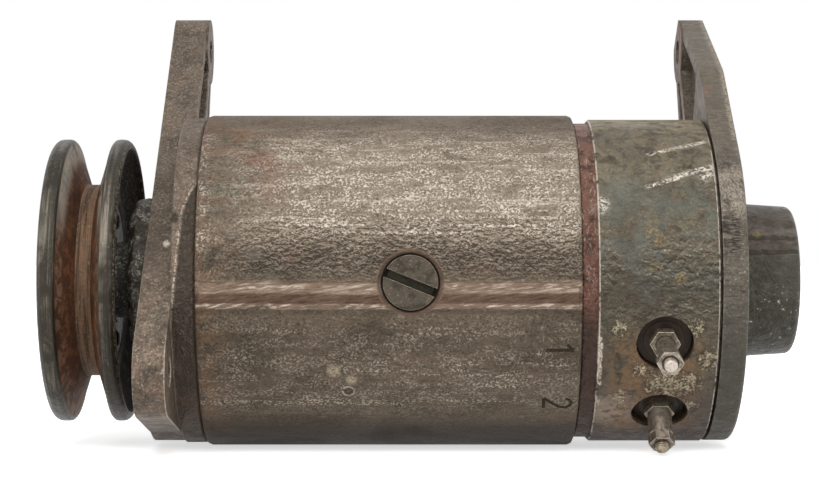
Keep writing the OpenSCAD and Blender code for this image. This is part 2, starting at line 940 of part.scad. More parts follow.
module rear_bearing_inner_race() {
    color("silver")
        in_frame()
            inner_race(rear_bearing_in, rear_bearing_w, rear_bore_r, rear_outer_r, rear_ball_r);
}

module rear_bearing_balls() {
    color("white")
        in_frame()
            balls(rear_bearing_in, rear_bearing_w, rear_bore_r, rear_outer_r, rear_ball_r);
}

module rear_bearing_cage() {
    color("goldenrod")
        in_frame()
            ball_cage(rear_bearing_in, rear_bearing_w, rear_bore_r, rear_outer_r, rear_ball_r);
}

// Commutator housing

module commutator_housing() {
    color("darkolivegreen")
        in_frame()
            difference() {
                union() {
                    turned([
                        [yoke_len - register_len, register_r], [yoke_len - register_len, bore_r - seat_gap],
                        [yoke_len, bore_r - seat_gap], [yoke_len, neck_r - 0.5],
                        [yoke_len + 0.5, neck_r], [housing_start, neck_r],
                        [housing_start, housing_r - housing_edge],
                        [housing_start + housing_edge, housing_r],
                        [housing_end - housing_edge, housing_r],
                        [housing_end, housing_r - housing_edge], [housing_end, housing_in_r],
                        [housing_start + neck_web_t, housing_in_r],
                        [housing_start + neck_web_t, neck_in_r],
                        [yoke_len, neck_in_r], [yoke_len, register_r]
                    ]);
                    for (a = terminal_angles)
                        toward(a)
                            spoke(terminal_s, terminal_pad_in, housing_in_r + 1.5, terminal_pad_r);
                }
                for (a = terminal_angles)
                    toward(a) {
                        spoke(terminal_s, recess_floor, housing_r + cut, recess_r);
                        spoke(terminal_s, terminal_pad_in - cut, housing_r, bush_r + 0.05);
                    }
            }
}

// Commutator end bracket

module end_plate_outline() {
    tapered_arm([0, 0], disc_r - 1, shoulder_c, shoulder_r);
    tapered_arm(shoulder_c, shoulder_r, pivot_c, pivot_tip_r);
    tapered_arm([0, 0], arm_base_r, pivot_c, pivot_tip_r);
}

module commutator_end_bracket() {
    color("darkslategray")
        in_frame()
            difference() {
                union() {
                    turned(concat(
                        [[foot_x + foot_t, 0], [foot_x + foot_t, housing_in_r - seat_gap],
                         [housing_end, housing_in_r - seat_gap],
                         [housing_end, disc_r - 3], [disc_in, disc_r - 3], [disc_in, disc_r]],
                        rounded([disc_out - disc_edge, disc_r - disc_edge], disc_edge, 90, 0),
                        [[disc_out, rear_boss_r]],
                        rounded([rear_boss_end - rear_boss_edge,
                                 rear_boss_r - rear_boss_draft - rear_boss_edge],
                                rear_boss_edge, 90, 0),
                        [[rear_boss_end, 0]]
                    ));
                    across(disc_in, disc_out)
                        difference() {
                            end_plate_outline();
                            circle(disc_r - 4);
                        }
                    across(comm_pad_face, disc_in + 0.01)
                        difference() {
                            union() {
                                translate(pivot_c)
                                    circle(pivot_tip_r);
                                arm_rib(0);
                            }
                            circle(disc_r + 2);
                        }
                }
                difference() {
                    rod(foot_x + foot_t - cut, housing_end, housing_in_r - 3.1);
                    for (a = brush_angles)
                        toward(a)
                            translate([foot_x + foot_t - 2 * cut, foot_from[0] - pad_rim,
                                       foot_from[1] - pad_rim])
                                cube([pad_h + 3 * cut, foot_size[0] + 2 * pad_rim,
                                      foot_size[1] + 2 * pad_rim]);
                }
                tip_bevel(comm_pad_face, 1, tip_bevel_t, tip_bevel_h);
                tip_bevel(disc_out, -1, tip_bevel_t / 2, tip_bevel_h);
                toward(brush_angles[0])
                    translate([foot_x, foot_from[0] - 2 * foot_rim, foot_from[1] - 2 * foot_rim])
                        cube([foot_t + holder_plate_t, foot_size[0] + 4 * foot_rim,
                              foot_size[1] + 4 * foot_rim]);
                rod(foot_x, rear_bearing_out, rear_outer_r + seat_gap);
                rod(foot_x, rear_boss_end - rear_wall, rear_outer_r - 4);
                across(disc_in - cut, disc_in + pocket_depth)
                    arm_pocket(shoulder_c, shoulder_r, disc_r);
                across(comm_pad_face - cut, disc_out + cut)
                    translate(pivot_c)
                        circle(pivot_hole_r);
                for (a = bolt_angles)
                    toward(a)
                        translate([0, bolt_circle_r, 0]) {
                            rod(foot_x, disc_out + cut, bolt_r + hole_gap);
                            rod(foot_x, housing_end, bolt_r + 1.5);
                            rod(disc_out - bolt_head_h - washer_t - 0.4, disc_out + cut,
                                bolt_head_r + hole_gap);
                        }
                for (a = brush_angles, side = [-1, 1])
                    toward(a)
                        translate([0, holder_screw_v, side * holder_screw_u])
                            rod(foot_x, housing_end + holder_screw_hold + 1,
                                holder_screw_r + seat_gap);
            }
}

module through_bolts() {
    head = disc_out - bolt_head_h - 0.4;
    color("dimgray")
        in_frame()
            for (a = bolt_angles)
                toward(a)
                    translate([0, bolt_circle_r, 0])
                        difference() {
                            union() {
                                rod(plate_out + 2.5, head + 0.01, bolt_r);
                                rod(head, head + bolt_head_h, bolt_head_r);
                            }
                            translate([head + bolt_head_h, 0, 0])
                                cube([bolt_head_h, 3 * bolt_head_r, 1.2], center = true);
                        }
}

module through_bolt_washers() {
    seat = disc_out - bolt_head_h - washer_t - 0.4;
    color("dimgray")
        in_frame()
            for (a = bolt_angles)
                toward(a)
                    translate([0, bolt_circle_r, 0])
                        tube(seat, seat + washer_t, bolt_head_r, bolt_r + seat_gap);
}

// Armature

module key_cut(clear) {
    translate([pulley_mid - 3 - clear, pulley_seat_r - key_h / 2 - clear, -key_w / 2 - clear])
        cube([key_len + 2 * clear, key_h + 2 * clear, key_w + 2 * clear]);
}

module shaft() {
    color("lightgray")
        in_frame()
            difference() {
                turned([
                    [shaft_start, 0], [shaft_start, thread_r - 1], [shaft_start + 1, thread_r],
                    [hub_front + 1, thread_r], [hub_front + 1, pulley_seat_r],
                    [hub_back, pulley_seat_r], [hub_back, drive_bore_r],
                    [bearing_in, drive_bore_r], [bearing_in, shaft_shoulder_r],
                    [core_start - end_turn_len, shaft_shoulder_r],
                    [core_start - end_turn_len, shaft_r], [comm_end + 4, shaft_r],
                    [comm_end + 4, rear_bore_r + 1.5], [rear_bearing_in, rear_bore_r + 1.5],
                    [rear_bearing_in, rear_bore_r], [rear_bearing_out + 1, rear_bore_r],
                    [rear_bearing_out + 1, 0]
                ]);
                key_cut(seat_gap);
            }
}

module slot_fill(start, end, width, depth, top) {
    for (i = [0 : slot_count - 1])
        toward(i * 360 / slot_count)
            translate([start, top - depth, -width / 2])
                cube([end - start, depth, width]);
}

module armature_core() {
    color("dimgray")
        in_frame()
            difference() {
                tube(core_start, core_end, core_r, shaft_r + seat_gap);
                slot_fill(core_start - cut, core_end + cut, slot_w, slot_depth + cut, core_r + cut);
            }
}

module end_turns(start, end) {
    turned(concat(
        [[start, shaft_r + 1], [start, end_turn_r - 3]],
        rounded([start + 3, end_turn_r - 3], 3, 180, 90),
        rounded([end - 3, end_turn_r - 3], 3, 90, 0),
        [[end, shaft_r + 1]]
    ));
}

module armature_winding() {
    color("darkgoldenrod")
        in_frame()
            union() {
                end_turns(core_start - end_turn_len, core_start);
                end_turns(core_end, comm_start - comm_space);
                slot_fill(core_start - 2, core_end + 2, slot_w - 2 * seat_gap,
                          slot_depth - 1.6, core_r - 1.5);
            }
}

module commutator_bars() {
    color("peru")
        in_frame()
            difference() {
                tube(comm_start, comm_end, comm_r, comm_r - bar_h);
                for (i = [0 : bar_count - 1])
                    toward((i + 0.5) * 360 / bar_count)
                        translate([comm_start - cut, 0, -bar_slit / 2])
                            cube([comm_len + 2 * cut, comm_r + cut, bar_slit]);
            }
}

module commutator_hub() {
    color("saddlebrown")
        in_frame()
            tube(comm_start, comm_end + 2, comm_r - bar_h - seat_gap, shaft_r + seat_gap);
}

module shaft_collar() {
    color("silver")
        in_frame()
            tube(hub_back, bearing_out, collar_r, drive_bore_r + seat_gap);
}

// Pulley, with its profiles drawn as [distance from the middle, radius]

// Half of the pulley, dished from sheet, with a thick rim
function pulley_profile(rim_w) =
    let (floor_x = groove_floor / 2,
         mouth_x = groove_mouth / 2,
         lean = atan2(mouth_x - floor_x, pulley_r - groove_floor_r),
         back = pulley_t / cos(lean))
    concat(
        [[0, pulley_hub_r + seat_gap], [0, groove_floor_r], [floor_x, groove_floor_r],
         [mouth_x, pulley_r - mouth_round - 0.4]],
        rounded([mouth_x + mouth_round, pulley_r - mouth_round], mouth_round, 180, 90, 3),
        rounded([mouth_x + rim_w - rim_round, pulley_r - rim_round], rim_round, 90, 0, 4),
        [[mouth_x + rim_w, pulley_r - rim_lip_h + 0.8], [mouth_x + rim_w - 0.8, pulley_r - rim_lip_h],
         [mouth_x + back, pulley_r - rim_lip_foot], [floor_x + back, groove_floor_r - pulley_t / 2],
         [floor_x + back - 1.2, groove_floor_r - pulley_t],
         [pulley_t, groove_floor_r - pulley_t - 1], [pulley_t, pulley_hub_r + seat_gap]]
    );

function flipped(points, side) = [for (p = points) [pulley_mid + side * p[0], p[1]]];

module rivet_holes() {
    for (i = [0 : rivet_count - 1])
        toward((i + 0.5) * 360 / rivet_count)
            translate([0, rivet_circle_r, 0])
                rod(pulley_mid - 4 * pulley_t, pulley_mid + 4 * pulley_t, rivet_r + seat_gap);
}

module pulley_outer_half() {
    color("sienna")
        in_frame()
            difference() {
                turned(flipped(pulley_profile(outer_rim_w), -1));
                rivet_holes();
            }
}

module pulley_inner_half() {
    color("sienna")
        in_frame()
            difference() {
                turned(flipped(pulley_profile(inner_rim_w), 1));
                rivet_holes();
            }
}

module pulley_hub() {
    color("darkgray")
        in_frame()
            difference() {
                union() {
                    rod(hub_front, hub_back, pulley_hub_r);
                    rod(pulley_mid + pulley_t, pulley_mid + pulley_t + hub_flange_t, hub_flange_r);
                }
                rod(hub_front - cut, hub_back + cut, pulley_seat_r + seat_gap);
                key_cut(seat_gap);
                translate([hub_front - cut, 0, -key_w / 2 - seat_gap])
                    cube([hub_back - hub_front + 2 * cut, pulley_seat_r + key_h / 2 + seat_gap,
                          key_w + 2 * seat_gap]);
                rivet_holes();
            }
}

module pulley_rivets() {
    front = pulley_mid - pulley_t;
    back = pulley_mid + pulley_t + hub_flange_t;
    color("gray")
        in_frame()
            for (i = [0 : rivet_count - 1])
                toward((i + 0.5) * 360 / rivet_count)
                    translate([0, rivet_circle_r, 0])
                        turned([
                            [front - 1.2, 0], [front - 1.2, rivet_r * 0.9], [front, rivet_r * 1.6],
                            [front, rivet_r], [back, rivet_r], [back, rivet_r * 1.6],
                            [back + 1.2, rivet_r * 0.9], [back + 1.2, 0]
                        ]);
}

module pulley_key() {
    color("silver")
        in_frame()
            key_cut(0);
}

module pulley_spring_washer() {
    color("dimgray")
        in_frame()
            difference() {
                tube(hub_front - pulley_washer_t, hub_front, thread_r + 4.2, thread_r + seat_gap);
                translate([hub_front, 0, thread_r + 2])
                    rotate([0, 0, 20])
                        cube([3 * pulley_washer_t, 0.8, thread_r + 2], center = true);
            }
}

module pulley_nut() {
    end = hub_front - pulley_washer_t;
    color("dimgray")
        in_frame()
            difference() {
                translate([end - pulley_nut_h, 0, 0])
                    rotate([0, 90, 0])
                        cylinder(h = pulley_nut_h, r = pulley_nut_af / 2 / cos(30), $fn = 6);
                rod(end - pulley_nut_h - cut, end + cut, thread_r + seat_gap);
            }
}

// Brush gear, drawn with the local Y direction running outward through the brush

module brush() {
    difference() {
        translate([brush_x - brush_w / 2, comm_r - 2, -brush_t / 2])
            cube([brush_w, brush_len + 2 + brush_gap, brush_t]);
        rod(brush_x - brush_w, brush_x + brush_w, brush_base);
    }
}

module brush_holder() {
    box_x = brush_x - brush_w / 2 - slide_gap - holder_t;
    box_w = brush_w + 2 * (slide_gap + holder_t);
    difference() {
        union() {
            translate([box_x, holder_base, -holder_out])
                cube([box_w, holder_h, 2 * holder_out]);
            for (side = [-1, 1])
                translate([box_x, holder_base, side * (holder_in + holder_t / 2) - holder_t / 2])
                    cube([foot_x + 0.01 - box_x, holder_h, holder_t]);
            translate([foot_x, foot_from[0], foot_from[1]])
                cube([foot_t, foot_size[0], foot_size[1]]);
        }
        translate([brush_x - brush_w / 2 - slide_gap, holder_base - cut, -holder_in])
            cube([brush_w + 2 * slide_gap, holder_h + 2 * cut, 2 * holder_in]);
        for (side = [-1, 1])
            translate([0, holder_screw_v, side * holder_screw_u])
                rod(foot_x - cut, foot_x + foot_t + cut, holder_screw_r + hole_gap);
        translate([0, pivot_v, arm_offset])
            rod(foot_x - cut, foot_x + foot_t + cut, arm_pin_r + seat_gap);
    }
}

// Bent arm that reaches over the holder and presses on the brush
module brush_arm() {
    difference() {
        union() {
            across(brush_x - arm_w / 2, brush_x + arm_w / 2)
                tapered_arm(arm_hub, arm_hub_r, arm_knee, arm_t * 0.75);
            across(brush_x - arm_w / 2, brush_x + arm_w / 2)
                tapered_arm(arm_knee, arm_t * 0.75, arm_tip, arm_tip_r);
        }
        translate([0, pivot_v, arm_offset])
            rod(brush_x - arm_w, brush_x + arm_w, arm_pin_r + pin_gap);
    }
}

// Torsion spring wound round the pivot pin, between the arm and the foot
module brush_spring() {
    translate([0, pivot_v, arm_offset])
        tube(brush_x + arm_w / 2 + 0.5, foot_x - 0.5, arm_pin_r + 1.2, arm_pin_r + 0.2);
}

module arm_pin() {
    translate([0, pivot_v, arm_offset]) {
        rod(brush_x - arm_w / 2 - 2, foot_x + foot_t, arm_pin_r);
        rod(brush_x - arm_w / 2 - 2, brush_x - arm_w / 2 - 0.5, arm_pin_r + 1);
    }
}

module positive_brush() {
    color("black")
        in_frame()
            toward(brush_angles[0])
                brush();
}

module negative_brush() {
    color("black")
        in_frame()
            toward(brush_angles[1])
                brush();
}

module positive_brush_arm() {
    color("silver")
        in_frame()
            toward(brush_angles[0])
                brush_arm();
}

module negative_brush_arm() {
    color("silver")
        in_frame()
            toward(brush_angles[1])
                brush_arm();
}

module positive_brush_holder() {
    color("gold")
        in_frame()
            toward(brush_angles[0])
                brush_holder();
}

module negative_brush_holder() {
    color("gold")
        in_frame()
            toward(brush_angles[1])
                brush_holder();
}

module holder_insulating_plate() {
    color("saddlebrown")
        in_frame()
            toward(brush_angles[0])
                difference() {
                    translate([foot_x + foot_t, foot_from[0] - foot_rim, foot_from[1] - foot_rim])
                        cube([holder_plate_t, foot_size[0] + 2 * foot_rim, foot_size[1] + 2 * foot_rim]);
                    for (side = [-1, 1])
                        translate([0, holder_screw_v, side * holder_screw_u])
                            rod(foot_x, foot_x + foot_t + holder_plate_t + cut,
                                holder_screw_r + hole_gap);
                }
}

module holder_screws() {
    color("silver")
        in_frame()
            for (a = brush_angles, side = [-1, 1])
                toward(a)
                    translate([0, holder_screw_v, side * holder_screw_u]) {
                        rod(foot_x - 0.01, housing_end + holder_screw_hold, holder_screw_r);
                        rod(foot_x - holder_screw_head_h, foot_x, holder_screw_head_r);
                    }
}

module brush_arm_pins() {
    color("silver")
        in_frame()
            for (a = brush_angles)
                toward(a)
                    arm_pin();
}

module brush_springs() {
    color("silver")
        in_frame()
            for (a = brush_angles)
                toward(a)
                    brush_spring();
}

// Terminals

module terminal_stud(i) {
    toward(terminal_angles[i])
        union() {
            spoke(terminal_s, inner_nut_end - 1.5, stud_tips[i] - 0.5, stud_r);
            translate([terminal_s, stud_tips[i] - 0.5, 0])
                rotate([-90, 0, 0])
                    cylinder(h = 0.5, r1 = stud_r, r2 = stud_r - 0.5);
        }
}

module armature_terminal_stud() {
    color("darkkhaki")
        in_frame()
            terminal_stud(0);
}

module field_terminal_stud() {
    color("darkkhaki")
        in_frame()
            terminal_stud(1);
}

module terminal_bushes() {
    color("maroon")
        in_frame()
            for (a = terminal_angles)
                toward(a)
                    difference() {
                        union() {
                            spoke(terminal_s, recess_floor, recess_floor + bush_flange_t,
                                  recess_r - 0.3);
                            spoke(terminal_s, recess_floor, bush_face, recess_r - 2.4);
                            spoke(terminal_s, terminal_pad_in, recess_floor + 0.1, bush_r);
                        }
                        spoke(terminal_s, terminal_pad_in - cut, bush_face + cut, stud_r + seat_gap);
                    }
}

module terminal_inner_washers() {
    color("maroon")
        in_frame()
            for (a = terminal_angles)
                toward(a)
                    difference() {
                        spoke(terminal_s, inner_nut_face, terminal_pad_in, recess_r - 1.6);
                        spoke(terminal_s, inner_nut_face - cut, terminal_pad_in + cut,
                              stud_r + seat_gap);
                    }
}

module terminal_inner_nuts() {
    color("goldenrod")
        in_frame()
            for (a = terminal_angles)
                toward(a)
                    spoke_nut(terminal_s, inner_nut_end, inner_nut_face, outer_nut_af,
                              stud_r + seat_gap);
}

module terminal_base_nuts() {
    color("darkkhaki")
        in_frame()
            for (a = terminal_angles)
                toward(a)
                    spoke_nut(terminal_s, bush_face, base_nut_top, base_nut_af,
                              stud_r + seat_gap);
}

module terminal_collars() {
    color("gray")
        in_frame()
            for (i = [0, 1])
                toward(terminal_angles[i])
                    difference() {
                        spoke(terminal_s, base_nut_top, stud_tips[i] - stud_free - nut_h,
                              collar_radii[i]);
                        spoke(terminal_s, base_nut_top - cut, stud_tips[i],
                              stud_r + seat_gap);
                    }
}

module terminal_outer_nuts() {
    color("gray")
        in_frame()
            for (i = [0, 1])
                toward(terminal_angles[i])
                    spoke_nut(terminal_s, stud_tips[i] - stud_free - nut_h,
                              stud_tips[i] - stud_free, outer_nut_af, stud_r + seat_gap);
}

yoke();
pole_screw_front();
pole_screw_rear();
pole_shoe_front();
pole_shoe_rear();
field_coil_front();
field_coil_rear();
drive_end_bracket();
bearing_retainer();
retainer_screws();
felt_ring();
drive_bearing_outer_race();
drive_bearing_inner_race();
drive_bearing_balls();
drive_bearing_cage();
commutator_housing();
commutator_end_bracket();
rear_bearing_outer_race();
rear_bearing_inner_race();
rear_bearing_balls();
rear_bearing_cage();
through_bolts();
through_bolt_washers();
shaft();
armature_core();
armature_winding();
commutator_bars();
commutator_hub();
shaft_collar();
pulley_hub();
pulley_outer_half();
pulley_inner_half();
pulley_rivets();
pulley_key();
pulley_spring_washer();
pulley_nut();
positive_brush();
negative_brush();
positive_brush_arm();
negative_brush_arm();
positive_brush_holder();
negative_brush_holder();
holder_insulating_plate();
holder_screws();
brush_arm_pins();
brush_springs();
armature_terminal_stud();
field_terminal_stud();
terminal_bushes();
terminal_inner_washers();
terminal_inner_nuts();
terminal_base_nuts();
terminal_collars();
terminal_outer_nuts();
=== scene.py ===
import math

import bmesh
import bpy
from bpy.props import FloatProperty, FloatVectorProperty, PointerProperty
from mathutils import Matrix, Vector, noise


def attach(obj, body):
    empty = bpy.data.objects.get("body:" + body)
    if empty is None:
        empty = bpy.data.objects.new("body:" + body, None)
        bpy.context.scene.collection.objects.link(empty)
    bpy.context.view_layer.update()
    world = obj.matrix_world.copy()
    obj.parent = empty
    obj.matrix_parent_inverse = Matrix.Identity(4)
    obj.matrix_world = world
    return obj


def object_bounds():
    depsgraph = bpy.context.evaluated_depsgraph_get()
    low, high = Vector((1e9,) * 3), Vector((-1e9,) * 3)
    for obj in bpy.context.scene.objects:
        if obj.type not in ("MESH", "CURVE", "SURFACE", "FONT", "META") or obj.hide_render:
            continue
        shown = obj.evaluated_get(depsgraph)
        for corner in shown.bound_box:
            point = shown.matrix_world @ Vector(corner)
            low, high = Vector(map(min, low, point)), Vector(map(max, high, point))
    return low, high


bl_info = {
    "name": "Belt Driven Generator",
    "version": (1, 0, 0),
    "blender": (4, 5, 0),
    "location": "View3D > Sidebar > Generator",
    "description": "Weathered finishes and fine details of a belt-driven generator",
    "category": "Object",
}

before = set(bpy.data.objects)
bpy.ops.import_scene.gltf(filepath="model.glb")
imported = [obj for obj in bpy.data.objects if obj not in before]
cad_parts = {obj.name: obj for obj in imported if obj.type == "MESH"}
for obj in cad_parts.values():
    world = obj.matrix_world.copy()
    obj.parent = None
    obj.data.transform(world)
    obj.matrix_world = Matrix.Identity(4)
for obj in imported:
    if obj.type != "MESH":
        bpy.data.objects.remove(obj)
CAD_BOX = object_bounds()

MM = 0.001
# Shaft axis in the frame, in metres
AXIS = Vector((0.0, -0.057, -0.078))
# Radius of the yoke and of the commutator housing, and the arc of one degree on each, in mm
YOKE_RADIUS, YOKE_DEGREE = 52.5, 0.916
HOUSING_RADIUS, HOUSING_DEGREE = 51, 0.894
# Stations along the shaft from the pivot bore, in mm
SCREW_X, TERMINAL_X, PULLEY_X, NUMERAL_X = 74.9, 150.9, -25.6, 115.2
# Degrees above the front, negative below it, of the terminals and of their numerals
TERMINAL_TURNS = (-21.0, -51.5)
NUMERAL_TURNS = (-22.6, -44.3)
# Rays of the bevel nodes that find and round the edges
EDGE_RAYS = 6
# Middle of the view along the shaft, point that the lamps face, floor's depth below, in metres
CAMERA_X, LAMP_AIM, FLOOR_GAP = 0.0746, (0.07, -0.06, -0.07), 0.0002


def colour(name, words, default):
    """Colour setting with its default."""
    return FloatVectorProperty(
        name=name, description=words, subtype="COLOR", size=3, min=0.0, max=1.0, default=default
    )


class GeneratorFinishes(bpy.types.PropertyGroup):
    """Colours of the metals, the moulding and what time has left on them."""

    steel: colour("Yoke steel", "Brown-grey skin of the rolled yoke", (0.135, 0.1, 0.068))
    weld: colour("Weld band", "Filed steel of the weld band", (0.2, 0.135, 0.095))
    worn: colour("Filed casting", "Bare grey edge of the end ear", (0.125, 0.102, 0.074))
    # bright, pale and shadow also serve as painted highlight, painted glints and painted shade
    bright: colour("Bright wear", "Steel rubbed bare", (0.55, 0.465, 0.365))
    pale: colour("Bare specks", "Polished steel in specks and on edges", (0.7, 0.62, 0.52))
    shadow: colour("Dark skin", "Black-brown oxide and old grease", (0.016, 0.011, 0.006))
    rust: colour("Rust", "Red-brown rust", (0.13, 0.058, 0.034))
    orange: colour("Fresh rust", "Orange rust in patches", (0.3, 0.13, 0.055))
    bracket: colour("Bracket casting", "Weathered casting of the brackets", (0.122, 0.09, 0.064))
    end: colour("End casting", "Grey-brown casting of the commutator end", (0.11, 0.094, 0.074))
    olive: colour("Housing casting", "Green-grey casting of the housing", (0.135, 0.115, 0.076))
    cream: colour("Corrosion", "Pale crust near the terminals", (0.5, 0.42, 0.28))
    boss: colour("Rear boss", "Green-black skin of the rear boss", (0.036, 0.034, 0.023))
    groove: colour("Belt groove", "Rusty belt track of the pulley", (0.1, 0.045, 0.026))
    rim: colour("Pulley rim", "Satin grey rim of the pulley", (0.025, 0.022, 0.015))
    moulding: colour("Moulding", "Dark brown insulators", (0.022, 0.014, 0.009))
    brass: colour("Terminal metal", "Tarnished studs and nuts", (0.33, 0.28, 0.2))
    copper: colour("Copper", "Bare copper", (0.48, 0.22, 0.12))


def length(name, words, default, **limits):
    """Length setting with its default in metres."""
    return FloatProperty(
        name=name, description=words, default=default, subtype="DISTANCE", unit="LENGTH", **limits
    )


class GeneratorDetails(bpy.types.PropertyGroup):
    """Sizes of the fine details."""

    thread_pitch: length("Thread pitch", "Pitch of the threads on the terminal studs",
                         0.0007, min=0.0004, max=0.0012)
    grease_height: length("Grease height", "Height of the greasy crust on the drive end boss",
                          0.0012, min=0.0005, max=0.004)
    numeral_height: length("Numeral height", "Height of the stamped terminal numerals",
                           0.0084, min=0.004, max=0.01)
    nut_bevel: length("Nut bevel", "Width of the rubbed corners of the nuts",
                      0.0004, min=0.0001, max=0.0008)


class GeneratorStudio(bpy.types.PropertyGroup):
    """Camera place and lamps."""

    camera_y: length("Camera distance", "Place of the camera in front of the pivot bore", -0.757)
    camera_z: length("Camera height", "Height of the camera against the pivot bore", -0.06696)
    lens: FloatProperty(
        name="Lens", description="Focal length in millimetres", default=96.1, min=20.0, max=300.0
    )
    key: FloatProperty(
        name="Key lamp", description="Power of the lamp above the camera in watts",
        default=7.5, min=0.0, max=60.0,
    )
    sky: FloatProperty(
        name="Sky", description="Brightness of the pale room", default=0.4, min=0.0, max=1.5
    )


def settings():
    """Settings of the scene, in their three groups."""
    scene = bpy.context.scene
    return scene.generator_finishes, scene.generator_details, scene.generator_studio


class Finish:
    """One material, with short calls that add its nodes. Lengths are in mm from the shaft.

    Masks are sockets that run from 0 to 1. Spots lie on a turned surface of the given radius.
    """

    def __init__(self, name, paint=None, metal=0.0, specular=0.28, surface=None):
        self.paint, self.surface = paint, surface
        self.material = bpy.data.materials.new(name)
        self.material.use_nodes = True
        tree = self.material.node_tree
        self.nodes, self.links = tree.nodes, tree.links
        self.nodes.clear()
        self.shader = self.nodes.new("ShaderNodeBsdfPrincipled")
        output = self.nodes.new("ShaderNodeOutputMaterial")
        self.links.new(self.shader.outputs["BSDF"], output.inputs["Surface"])
        self.shader.inputs["Metallic"].default_value = metal
        self.shader.inputs["Specular IOR Level"].default_value = specular
        start = self.nodes.new("ShaderNodeTexCoord").outputs["Object"]
        middle = self.vector("SUBTRACT", start, tuple(AXIS))
        self.place = self.vector("SCALE", middle, scale=1000.0)
        split = self.nodes.new("ShaderNodeSeparateXYZ")
        self.links.new(self.place, split.inputs[0])
        self.x, self.y, self.z = split.outputs
        self.colour = self.gloss = self.relief = None

    def put(self, value, socket):
        """Links a socket to an input, or sets the input to a plain value."""
        if isinstance(value, bpy.types.NodeSocket):
            self.links.new(value, socket)
        elif hasattr(socket.default_value, "__len__"):
            plain = tuple(value) if hasattr(value, "__len__") else (value,) * 3
            size = len(socket.default_value)
            socket.default_value = (plain + (1.0,))[:size]
        else:
            socket.default_value = value

    def sum(self, how, a, b=0.0, c=0.0):
        """Maths on one or more numbers."""
        node = self.nodes.new("ShaderNodeMath")
        node.operation = how
        for value, socket in zip((a, b, c), node.inputs):
            self.put(value, socket)
        return node.outputs[0]

    def vector(self, how, a, b=None, scale=None):
        """Maths on vectors."""
        node = self.nodes.new("ShaderNodeVectorMath")
        node.operation = how
        self.put(a, node.inputs[0])
        if b is not None:
            self.put(b, node.inputs[1])
        if scale is not None:
            self.put(scale, node.inputs["Scale"])
        return node.outputs["Value"] if how in ("LENGTH", "DOT_PRODUCT") else node.outputs[0]

    def both(self, *masks):
        """Product of numbers and masks, where (value, low, high) stands for a ramp."""
        made = None
        for mask in masks:
            mask = self.ramp(*mask) if isinstance(mask, tuple) else mask
            made = mask if made is None else self.sum("MULTIPLY", made, mask)
        return made

    def plus(self, a, b):
        """Sum of two numbers."""
        return self.sum("ADD", a, b)

    def minus(self, a, b):
        """First number less the second."""
        return self.sum("SUBTRACT", a, b)

    def ramp(self, value, low, high):
        """Smooth step from 0 at low to 1 at high."""
        node = self.nodes.new("ShaderNodeMapRange")
        node.interpolation_type = "SMOOTHSTEP"
        turned = low > high
        self.put(value, node.inputs["Value"])
        self.put(high if turned else low, node.inputs["From Min"])
        self.put(low if turned else high, node.inputs["From Max"])
        self.put(1.0 if turned else 0.0, node.inputs["To Min"])
        self.put(0.0 if turned else 1.0, node.inputs["To Max"])
        return node.outputs["Result"]

    def band(self, value, low, high, soft):
        """1 between two limits, fading over a soft edge."""
        return self.both(self.ramp(value, low - soft, low + soft),
                         self.ramp(value, high + soft, high - soft))

    def away(self, point):
        """Distance from a point (x, y, z) in mm."""
        return self.vector("LENGTH", self.vector("SUBTRACT", self.place, point))

    def near(self, point, size, soft=0.5):
        """1 round a point (x, y, z) in mm, fading to 0 at a distance."""
        return self.ramp(self.away(point), size, size * (1 - soft))

    def leaned(self, lean):
        """Place with its height lowered along the shaft, so that stretched grain slants."""
        node = self.nodes.new("ShaderNodeCombineXYZ")
        self.put(self.both(self.x, -lean), node.inputs["Z"])
        return self.vector("ADD", self.place, node.outputs[0])

    def grain(self, size, stretch, detail, rough, bend=0.0, seed=0.0, place=None):
        """Noise with features of about size mm, stretched along the shaft or along each axis."""
        node = self.nodes.new("ShaderNodeTexNoise")
        if not isinstance(stretch, tuple):
            stretch = (stretch, 1, 1)
        scale = self.vector("MULTIPLY", self.place if place is None else place,
                            tuple(1.0 / (size * s) for s in stretch))
        if seed:
            scale = self.vector("ADD", scale, (seed, seed * 1.7, seed * 2.3))
        for value, name in ((scale, "Vector"), (1.0, "Scale"), (detail, "Detail"),
                            (rough, "Roughness"), (bend, "Distortion")):
            self.put(value, node.inputs[name])
        return node.outputs["Fac"]

    def slope(self, size, stretch, step, seed):
        """How far the grain falls upwards over a step in mm: above 0 on upper sides of wrinkles."""
        raised = self.vector("ADD", self.place, (0.0, 0.0, step))
        here = self.grain(size, stretch, 4, 0.6, 0.4, seed)
        return self.minus(here, self.grain(size, stretch, 4, 0.6, 0.4, seed, raised))

    def veins(self, size, stretch, bend, seed):
        """Distance of a noise from its middle, 0 along winding lines about size mm apart."""
        return self.sum("ABSOLUTE", self.minus(self.grain(size, stretch, 3, 0.55, bend, seed), 0.5))

    def folds(self, size, stretch, bend, seed):
        """Rounded lumps with sharp valleys between them."""
        return self.ramp(self.veins(size, stretch, bend, seed), -0.06, 0.14)

    def creases(self, size, stretch, width, bend, seed):
        """1 along thin winding lines."""
        return self.ramp(self.veins(size, stretch, bend, seed), width, 0.0)

    def streak(self, start, end, width, ragged):
        """1 along a ragged line between two places (station, turn) on the housing."""
        (x0, turn0), (x1, turn1) = start, end
        rise = (turn1 - turn0) * HOUSING_DEGREE
        length = math.hypot(x1 - x0, rise)
        along, over = (x1 - x0) / length, rise / length
        x = self.minus(self.x, x0)
        arc = self.both(self.minus(self.turn(), turn0), HOUSING_DEGREE)
        u = self.plus(self.both(x, along), self.both(arc, over))
        v = self.minus(self.both(arc, along), self.both(x, over))
        return self.both(self.band(u, 0.0, length, 1.5),
                         self.ramp(self.sum("ABSOLUTE", v), width, width * 0.3), ragged)

    def spot(self, station, turn, size, soft=0.6):
        """1 round a place on the turned surface."""
        a = math.radians(turn)
        place = (station, -self.surface * math.cos(a), self.surface * math.sin(a))
        return self.near(place, size, soft)

